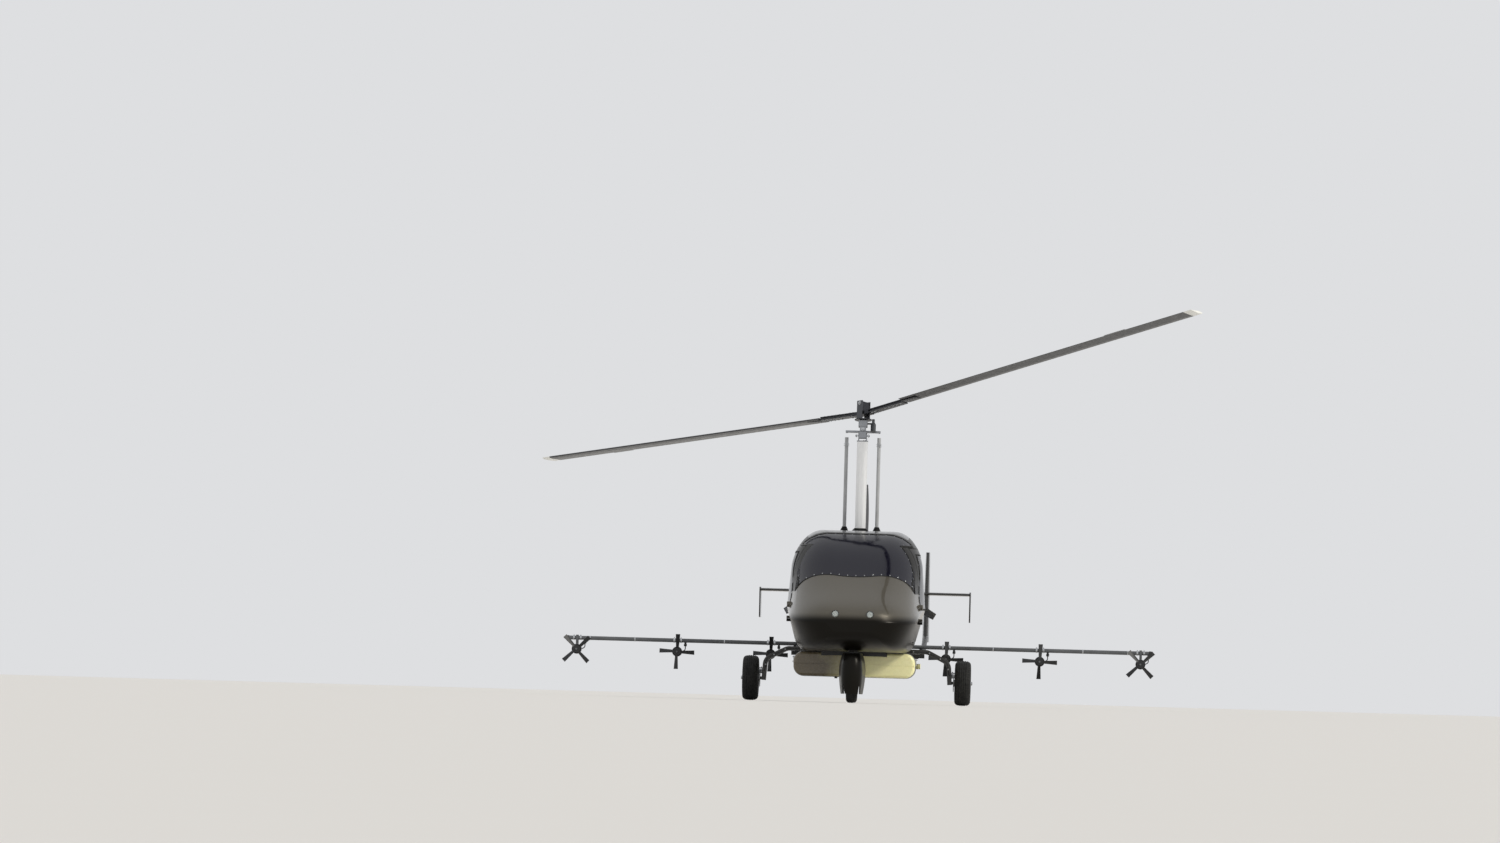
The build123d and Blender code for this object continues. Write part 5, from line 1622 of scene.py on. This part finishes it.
class GYRO_OT_rotor_head(bpy.types.Operator):
    """Adds nuts, ring gear teeth and caps to the rotor head"""

    bl_idname = "gyro.rotor_head"
    bl_label = "Rotor head fittings"

    def execute(self, context):
        sizes = context.scene.gyro_sizes
        pitch, roll = joint_named("head_pitch"), joint_named("head_roll")
        spin = joint_named("rotor_spin")
        shaft = Vector(spin["axis"])
        head = Vector(pitch["pos_m"])
        self.bolt_pair("pitch_bolt", pitch, 56 * MM, sizes.bolt_head * 1.4, "airframe")
        self.bolt_pair("roll_bolt", roll, 44 * MM, sizes.bolt_head * 1.3, "gimbal")
        turn = frame_at(head, shaft, (1, 0, 0))
        steel = bmesh.new()
        cap = moved(turn, 0, 0, 150)
        lathe(
            steel,
            cap,
            [(41 * MM, -2 * MM), (41 * MM, 3 * MM), (36 * MM, 6 * MM), (24 * MM, 6 * MM), (24 * MM, 0)],
            40,
        )
        for i in range(8):
            spot = cap @ Matrix.Rotation(math.pi * (i + 0.5) / 4, 4, "Z")
            hex_head(steel, moved(spot, 31, 0, 5), 7 * MM)
        for x in (-1, 1):
            for y in (-1, 1):
                hex_head(steel, moved(turn, 36 * x, 36 * y, 150), 8 * MM)
        # The roll bar's ends, above the push rods, which stop short of them
        for x in (-162, 162):
            back = moved(turn, x, 116, 60) @ Matrix.Rotation(-math.pi / 2, 4, "X")
            hex_head(steel, back, 15 * MM, 5 * MM)
        new_piece("bearing_bolts", steel, "bolt_steel", "bearing")
        teeth = bmesh.new()
        ring = moved(turn, 0, 0, 162)
        for i in range(sizes.gear_teeth):
            spot = ring @ Matrix.Rotation(2 * math.pi * i / sizes.gear_teeth, 4, "Z")
            block(teeth, moved(spot, 82.5, 0, 0), (7 * MM, 2.6 * MM, 8 * MM))
        new_piece("ring_gear_teeth", teeth, "head_steel", "rotor_shaft")
        bolts = bmesh.new()
        for i in range(6):
            spot = ring @ Matrix.Rotation(math.pi * (i + 0.5) / 3, 4, "Z")
            hex_head(bolts, moved(spot, 46, 0, 4), 9 * MM)
        teeter = joint_named("rotor_teeter")
        axis = Vector(teeter["axis"])
        for sign in (1, -1):
            end = frame_at(Vector(teeter["pos_m"]) + axis * sign * 62 * MM, axis * sign)
            hex_head(bolts, end, sizes.bolt_head * 1.3, 6 * MM)
        new_piece("tower_bolts", bolts, "bolt_steel", "rotor_shaft")
        return {"FINISHED"}

    def bolt_pair(self, name, joint, reach, across, body):
        """The head and the nut of a pivot bolt."""
        bm = bmesh.new()
        axis = Vector(joint["axis"])
        for sign in (1, -1):
            place = Vector(joint["pos_m"]) + axis * sign * reach
            hex_head(bm, frame_at(place, axis * sign), across, 6 * MM if sign > 0 else 0.0)
        new_piece(name, bm, "bolt_steel", body)


def hub_places():
    """The hub's middle and, for each blade, a place there: X outward along it, Z its upper side."""
    teeter, shaft = joint_named("rotor_teeter"), Vector(joint_named("rotor_spin")["axis"])
    line = shaft.cross(Vector(teeter["axis"]))
    rest = math.radians(3.6)
    cone = math.radians(3.6)
    hub_x = line * math.cos(rest) + shaft * math.sin(rest)
    hub_z = shaft * math.cos(rest) - line * math.sin(rest)
    middle = Vector(teeter["pos_m"]) - hub_z * 100 * MM
    places = []
    for sign in (1, -1):
        out = hub_x * sign * math.cos(cone) + hub_z * math.sin(cone)
        up = hub_z * math.cos(cone) - hub_x * sign * math.sin(cone)
        places.append(frame_at(middle, up, out))
    return frame_at(middle, hub_z, hub_x), places


class GYRO_OT_rotor_blades(bpy.types.Operator):
    """Adds the hub's bolts and each blade's root plates and trim tab"""

    bl_idname = "gyro.rotor_blades"
    bl_label = "Blade fittings"

    def execute(self, context):
        hub, places = hub_places()
        steel, plates, strips = bmesh.new(), bmesh.new(), bmesh.new()
        for place in places:
            for face, turn in ((1, 0.0), (-1, math.pi)):
                flipped = place @ Matrix.Rotation(turn, 4, "X")
                for r in (125, 165, 300, 350, 400, 450, 500):
                    for y in (-24, 24):
                        hex_head(steel, moved(flipped, r, y, 16.3), 13 * MM, 3 * MM if face < 0 else 0.0)
                block(plates, moved(flipped, 640, face * -30, 11.6), (190 * MM, 92 * MM, 3 * MM), 1 * MM)
                for r in (575, 605, 640, 675, 710):
                    screw_head(
                        steel,
                        frame_at(moved(flipped, r, face * -30, 13).translation, flipped.col[2].xyz),
                        5 * MM,
                    )
            # Y of a blade's place points to its leading edge
            block(strips, moved(place, 3350, -131, 0), (260 * MM, 26 * MM, 1.6 * MM))
        for x in (-60, -20, 20, 60):
            for y in (-30, 30):
                hex_head(steel, moved(hub, x, y, 16.3), 12 * MM)
        new_piece("hub_bolts", steel, "bolt_steel", "rotor")
        new_piece("blade_root_plates", plates, "hub_alloy", "rotor")
        new_piece("blade_trim_tabs", strips, "strap_steel", "rotor")
        return {"FINISHED"}


class GYRO_OT_spray_gear(bpy.types.Operator):
    """Adds the boom's clamps, valves and pipes and the atomisers' gauze cages"""

    bl_idname = "gyro.spray_gear"
    bl_label = "Spray gear"

    def execute(self, context):
        wire = context.scene.gyro_sizes.gauze_wire
        low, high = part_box("spray_boom")
        boom = (low + high) / 2
        radius = (high.z - low.z) / 2
        clamps, valves, hoses = bmesh.new(), bmesh.new(), bmesh.new()
        for number in range(1, 7):
            spin = joint_named(f"atomiser_{number}_spin")
            hub = Vector(spin["pos_m"])
            for x in (-34 * MM, 34 * MM):
                ring = frame_at((hub.x + x, boom.y, boom.z), (1, 0, 0))
                profile = [(radius, -9), (radius + 4 * MM, -9), (radius + 4 * MM, 9), (radius, 9)]
                lathe(clamps, ring, [(r, h * MM) for r, h in profile], 28, True)
                hex_head(clamps, frame_at((hub.x + x, boom.y, boom.z + radius + 3 * MM)), 9 * MM, 5 * MM)
            take_off = Vector((hub.x + 78 * MM, boom.y, boom.z - radius + 3 * MM))
            down = frame_at(take_off, (0, 0, -1))
            drum(valves, down, 11 * MM, 14 * MM, 2 * MM, 6)
            drum(valves, moved(down, 0, 0, 14), 15 * MM, 26 * MM, 3 * MM, 20)
            block(valves, moved(down, 0, 17, 27), (8 * MM, 22 * MM, 8 * MM), 2 * MM)
            line = [
                take_off - UP * 38 * MM, take_off - UP * 78 * MM, (hub.x + 40 * MM, boom.y - 4 * MM, hub.z)
            ]
            pipe(hoses, bend_path(line + [(hub.x + 12 * MM, boom.y - 8 * MM, hub.z)], 26 * MM), 5 * MM, 10)
            self.add_cage(number, hub, wire)
        for x in range(-2700, 2701, 450):
            if min(abs(abs(x) - a) for a in (880, 1820, 2830)) > 120 and abs(x) > 300:
                ring = frame_at((x * MM, boom.y, boom.z), (1, 0, 0))
                lathe(
                    clamps,
                    ring,
                    [
                        (radius, -6 * MM), (radius + 2 * MM, -4 * MM), (radius + 2 * MM, 4 * MM),
                        (radius, 6 * MM),
                    ],
                    24,
                )
        for sign in (1, -1):
            end = frame_at((sign * (high.x - 1 * MM), boom.y, boom.z), (sign, 0, 0))
            lathe(
                valves,
                moved(end, 0, 0, -26),
                [(radius + 3 * MM, 0), (radius + 3 * MM, 20 * MM), (radius, 27 * MM), (0, 27 * MM)],
                28,
            )
        pump_low, pump_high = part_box("spray_pump")
        feed = [
            (30 * MM, pump_high.y, pump_low.z + 50 * MM),
            (30 * MM, 60 * MM, 0.385),
            (52 * MM, 330 * MM, 0.395),
        ]
        feed += [(52 * MM, boom.y, 0.43), (52 * MM, boom.y, boom.z - radius)]
        pipe(hoses, bend_path(feed, 70 * MM), 11 * MM, 14)
        new_piece("boom_clamps", clamps, "bolt_steel", "airframe")
        new_piece("boom_valves", valves, "atomiser_plastic", "airframe")
        new_piece("spray_hoses", hoses, "hose_rubber", "airframe")
        return {"FINISHED"}

    def add_cage(self, number, hub, wire):
        """The gauze cage round an atomiser's body: rings and bars of wire."""
        bm = bmesh.new()
        radius = 49 * MM
        start, end = hub.y + 8 * MM, hub.y + 44 * MM
        turns = [2 * math.pi * i / 40 for i in range(40)]
        for turn in turns:
            out = Vector((math.cos(turn), 0, math.sin(turn))) * radius
            foot = Vector((hub.x, start, hub.z)) + out
            pipe(bm, [foot, foot + Vector((0, end - start, 0))], wire / 2, 5)
        for share in (0.0, 0.25, 0.5, 0.75, 1.0):
            centre = Vector((hub.x, start + (end - start) * share, hub.z))
            ring = [centre + Vector((math.cos(t), 0, math.sin(t))) * radius for t in turns]
            pipe(bm, ring, wire * (0.9 if share in (0.0, 1.0) else 0.5), 6, True)
        new_piece(f"atomiser_{number}_gauze", bm, "gauze_steel", f"atomiser_{number}")


class GYRO_OT_tank_fittings(bpy.types.Operator):
    """Adds the tank's moulding seam, drain, strap tensioners and coupling rings"""

    bl_idname = "gyro.tank_fittings"
    bl_label = "Tank fittings"

    def execute(self, context):
        low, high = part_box("belly_tank")
        side_x = 0.6
        middle_z = (low.z + high.z) / 2
        seam, steel, black = bmesh.new(), bmesh.new(), bmesh.new()
        corners = [
            (x, y, middle_z) for x, y in (
                (side_x, low.y), (side_x, high.y), (-side_x, high.y), (-side_x, low.y)
            )
        ]
        ring = bend_path([(0, low.y, middle_z)] + corners + [(0, low.y, middle_z)], 14 * MM)[:-1]
        sweep(
            seam,
            ring,
            [UP] * len(ring),
            [(-2.5 * MM, -4 * MM), (2.5 * MM, -2 * MM), (2.5 * MM, 2 * MM), (-2.5 * MM, 4 * MM)],
            True,
        )
        for y in (-955 * MM, -715 * MM):
            for sign in (1, -1):
                clamp = frame_at((sign * (side_x + 4 * MM), y, middle_z + 40 * MM), (sign, 0, 0), (0, 1, 0))
                block(steel, clamp, (50 * MM, 70 * MM, 5 * MM), 1.5 * MM)
                for z in (-22, 22):
                    hex_head(steel, moved(clamp, 0, z, 2), 11 * MM, 6 * MM)
        drain = frame_at((-0.18, low.y + 120 * MM, low.z + 2 * MM), (0, 0, -1))
        drum(black, drain, 26 * MM, 8 * MM, 2 * MM, 28)
        drum(black, moved(drain, 0, 0, 8), 15 * MM, 13 * MM, 2 * MM, 6)
        coupling = frame_at((high.x, -595 * MM, middle_z), (1, 0, 0))
        for x in (-40, -26, -12):
            lathe(
                black,
                moved(coupling, 0, 0, x),
                [(25 * MM, -4 * MM), (28 * MM, -2 * MM), (28 * MM, 2 * MM), (25 * MM, 4 * MM)],
                28,
            )
        drum(black, moved(coupling, 0, 0, -6), 21 * MM, 5 * MM, 1 * MM, 28)
        new_piece("tank_seam", seam, "tank_plastic", "airframe", 60)
        new_piece("tank_tensioners", steel, "bolt_steel", "airframe")
        new_piece("tank_ports", black, "atomiser_plastic", "airframe")
        return {"FINISHED"}


class GYRO_OT_lamps(bpy.types.Operator):
    """Makes the two landing lamps: bezel, bowl, bulb and lens"""

    bl_idname = "gyro.lamps"
    bl_label = "Landing lamps"

    def execute(self, context):
        low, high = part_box("landing_lamps")
        radius = (high.z - low.z) / 2
        bezels, bowls, lenses = bmesh.new(), bmesh.new(), bmesh.new()
        for sign in (1, -1):
            front = frame_at((sign * (high.x - radius), low.y, (low.z + high.z) / 2), (0, -1, 0))
            rim = [(35.6, -58), (35.6, -1), (33, 0), (30.5, -1.5), (30.5, -7), (33, -9), (33, -58)]
            lathe(bezels, front, [(r * MM, h * MM) for r, h in rim], 48, True)
            bowl = [(30.5, -7), (28, -16), (23, -27), (15, -37), (7, -42), (0, -42)]
            lathe(bowls, front, [(r * MM, h * MM) for r, h in bowl], 48)
            drum(bowls, moved(front, 0, 0, -42), 4 * MM, 16 * MM, 1.5 * MM, 16)
            lens = [
                (0, -2), (12, -2.4), (22, -3.4), (30.2, -5), (30.2, -7), (22, -5.6), (12, -4.8), (0, -4.4)
            ]
            lathe(lenses, front, [(r * MM, h * MM) for r, h in lens], 48)
        new_piece("lamp_bezels", bezels, "dial_black", "airframe", 30, ("landing_lamps",))
        new_piece("lamp_bowls", bowls, "lamp_silver", "airframe", 50)
        new_piece("lamp_lenses", lenses, "lamp_clear", "airframe", 50)
        return {"FINISHED"}


class GYRO_OT_stage(bpy.types.Operator):
    """Sets the camera, the floor, the backdrop and the lights"""

    bl_idname = "gyro.stage"
    bl_label = "Stage and camera"

    def execute(self, context):
        stage = context.scene.gyro_stage
        context.scene.view_settings.view_transform = "Standard"
        self.place_camera(context, stage)
        self.lay_floor(stage)
        self.light(context, stage)
        return {"FINISHED"}

    def place_camera(self, context, stage):
        """Puts the main wheels' middle where the photograph has it, seen from floor level."""
        width, height = 1500, 843
        wheels_x, wheels_y = 856, 703
        metres_per_pixel = 0.01
        camera = bpy.data.cameras.new("camera")
        camera.sensor_width = 36.0
        camera.lens = camera.sensor_width / width * stage.distance / metres_per_pixel
        camera.clip_start, camera.clip_end = 1.0, 600.0
        seen = Vector(
            (wheels_x - width / 2, height / 2 - wheels_y, -stage.distance / metres_per_pixel)
        ).normalized()
        target = Vector((0, centre_of("main_tyre_left").y, 0))
        away = Vector((math.sin(stage.azimuth), -math.cos(stage.azimuth), 0))
        place = target + away * stage.distance + UP * stage.camera_height
        view = (target - place).normalized()
        right = view.cross(UP).normalized()
        world_axes = Matrix((right, right.cross(view), -view)).transposed()
        seen_right = seen.cross(Vector((0, 1, 0))).normalized()
        seen_up = seen_right.cross(seen)
        lean_cos, lean_sin = math.cos(stage.roll), math.sin(stage.roll)
        leaned_right = seen_right * lean_cos - seen_up * lean_sin
        leaned_up = seen_right * lean_sin + seen_up * lean_cos
        seen_axes = Matrix((leaned_right, leaned_up, -seen)).transposed()
        holder = bpy.data.objects.new("camera", camera)
        holder.matrix_world = Matrix.Translation(place) @ (world_axes @ seen_axes.transposed()).to_4x4()
        context.scene.collection.objects.link(holder)
        context.scene.camera = holder

    def lay_floor(self, stage):
        """A wide round floor in plain pale grey paint."""
        bm = bmesh.new()
        bmesh.ops.create_circle(bm, cap_ends=True, radius=300.0, segments=96)
        mesh = bpy.data.meshes.new("floor")
        bm.to_mesh(mesh)
        bm.free()
        paint, tree, surface, where = start_material("pale floor paint", tuple(stage.floor), 0.0, 0.9)
        vary_roughness(tree, surface, noise(tree, where, 400 * MM), 0.85, 0.95)
        mesh.materials.append(paint)
        floor = bpy.data.objects.new("floor", mesh)
        bpy.context.scene.collection.objects.link(floor)

    def light(self, context, stage):
        """An even pale sky seen by the camera, glass and gloss, and a soft side sun."""
        world = bpy.data.worlds.new("pale sky")
        context.scene.world = world
        world.use_nodes = True
        tree = world.node_tree
        tree.nodes.clear()
        rays = add_node(tree, "ShaderNodeLightPath")
        seen = add_node(
            tree,
            "ShaderNodeMath",
            links={0: rays.outputs["Is Camera Ray"], 1: rays.outputs["Is Glossy Ray"]},
            operation="MAXIMUM",
        )
        seen = add_node(
            tree,
            "ShaderNodeMath",
            links={0: seen.outputs["Value"], 1: rays.outputs["Is Transmission Ray"]},
            operation="MAXIMUM",
        )
        fill = add_node(tree, "ShaderNodeBackground", {"Color": (1.0, 1.0, 1.0, 1.0), "Strength": 0.62})
        sky = add_node(tree, "ShaderNodeBackground", {"Color": tuple(stage.background), "Strength": 1.0})
        mix = add_node(
            tree,
            "ShaderNodeMixShader",
            links={0: seen.outputs["Value"], 1: fill.outputs["Background"], 2: sky.outputs["Background"]},
        )
        add_node(tree, "ShaderNodeOutputWorld", links={"Surface": mix.outputs["Shader"]})
        if stage.catch_light:
            sun = bpy.data.lights.new("side sun", "SUN")
            sun.energy = 1.7
            sun.angle = math.radians(12)
            sun.color = (1.0, 0.96, 0.88)
            lamp = bpy.data.objects.new("side sun", sun)
            lamp.matrix_world = frame_at((0, 0, 20), Vector((0.80, -0.50, 0.62)))
            context.scene.collection.objects.link(lamp)


class GYRO_PT_panel(bpy.types.Panel):
    """Lists the craft's settings and its steps"""

    bl_idname = "GYRO_PT_panel"
    bl_label = "Spray gyrocopter"
    bl_space_type = "VIEW_3D"
    bl_region_type = "UI"
    bl_category = "Gyrocopter"

    def draw(self, context):
        for group in (context.scene.gyro_finish, context.scene.gyro_sizes, context.scene.gyro_stage):
            box = self.layout.box()
            for name in group.__annotations__:
                box.prop(group, name)
        for step in STEPS:
            self.layout.operator(step.bl_idname)


STEPS = (
    GYRO_OT_finishes,
    GYRO_OT_tyres,
    GYRO_OT_wheel_fittings,
    GYRO_OT_seats,
    GYRO_OT_instruments,
    GYRO_OT_cabin_sides,
    GYRO_OT_cabin_trim,
    GYRO_OT_mast_fittings,
    GYRO_OT_rotor_head,
    GYRO_OT_rotor_blades,
    GYRO_OT_spray_gear,
    GYRO_OT_tank_fittings,
    GYRO_OT_lamps,
    GYRO_OT_stage,
)
SETTINGS = (
    ("gyro_finish", GyroFinishSettings),
    ("gyro_sizes", GyroSizeSettings),
    ("gyro_stage", GyroStageSettings),
)


def register():
    for name, group in SETTINGS:
        bpy.utils.register_class(group)
        setattr(bpy.types.Scene, name, PointerProperty(type=group))
    for step in STEPS:
        bpy.utils.register_class(step)
    bpy.utils.register_class(GYRO_PT_panel)


def unregister():
    bpy.utils.unregister_class(GYRO_PT_panel)
    for step in reversed(STEPS):
        bpy.utils.unregister_class(step)
    for name, group in reversed(SETTINGS):
        delattr(bpy.types.Scene, name)
        bpy.utils.unregister_class(group)


def main():
    """Builds the craft and its stage."""
    register()
    for step in STEPS:
        group, name = step.bl_idname.split(".")
        getattr(getattr(bpy.ops, group), name)()


if __name__ == "__main__":
    main()
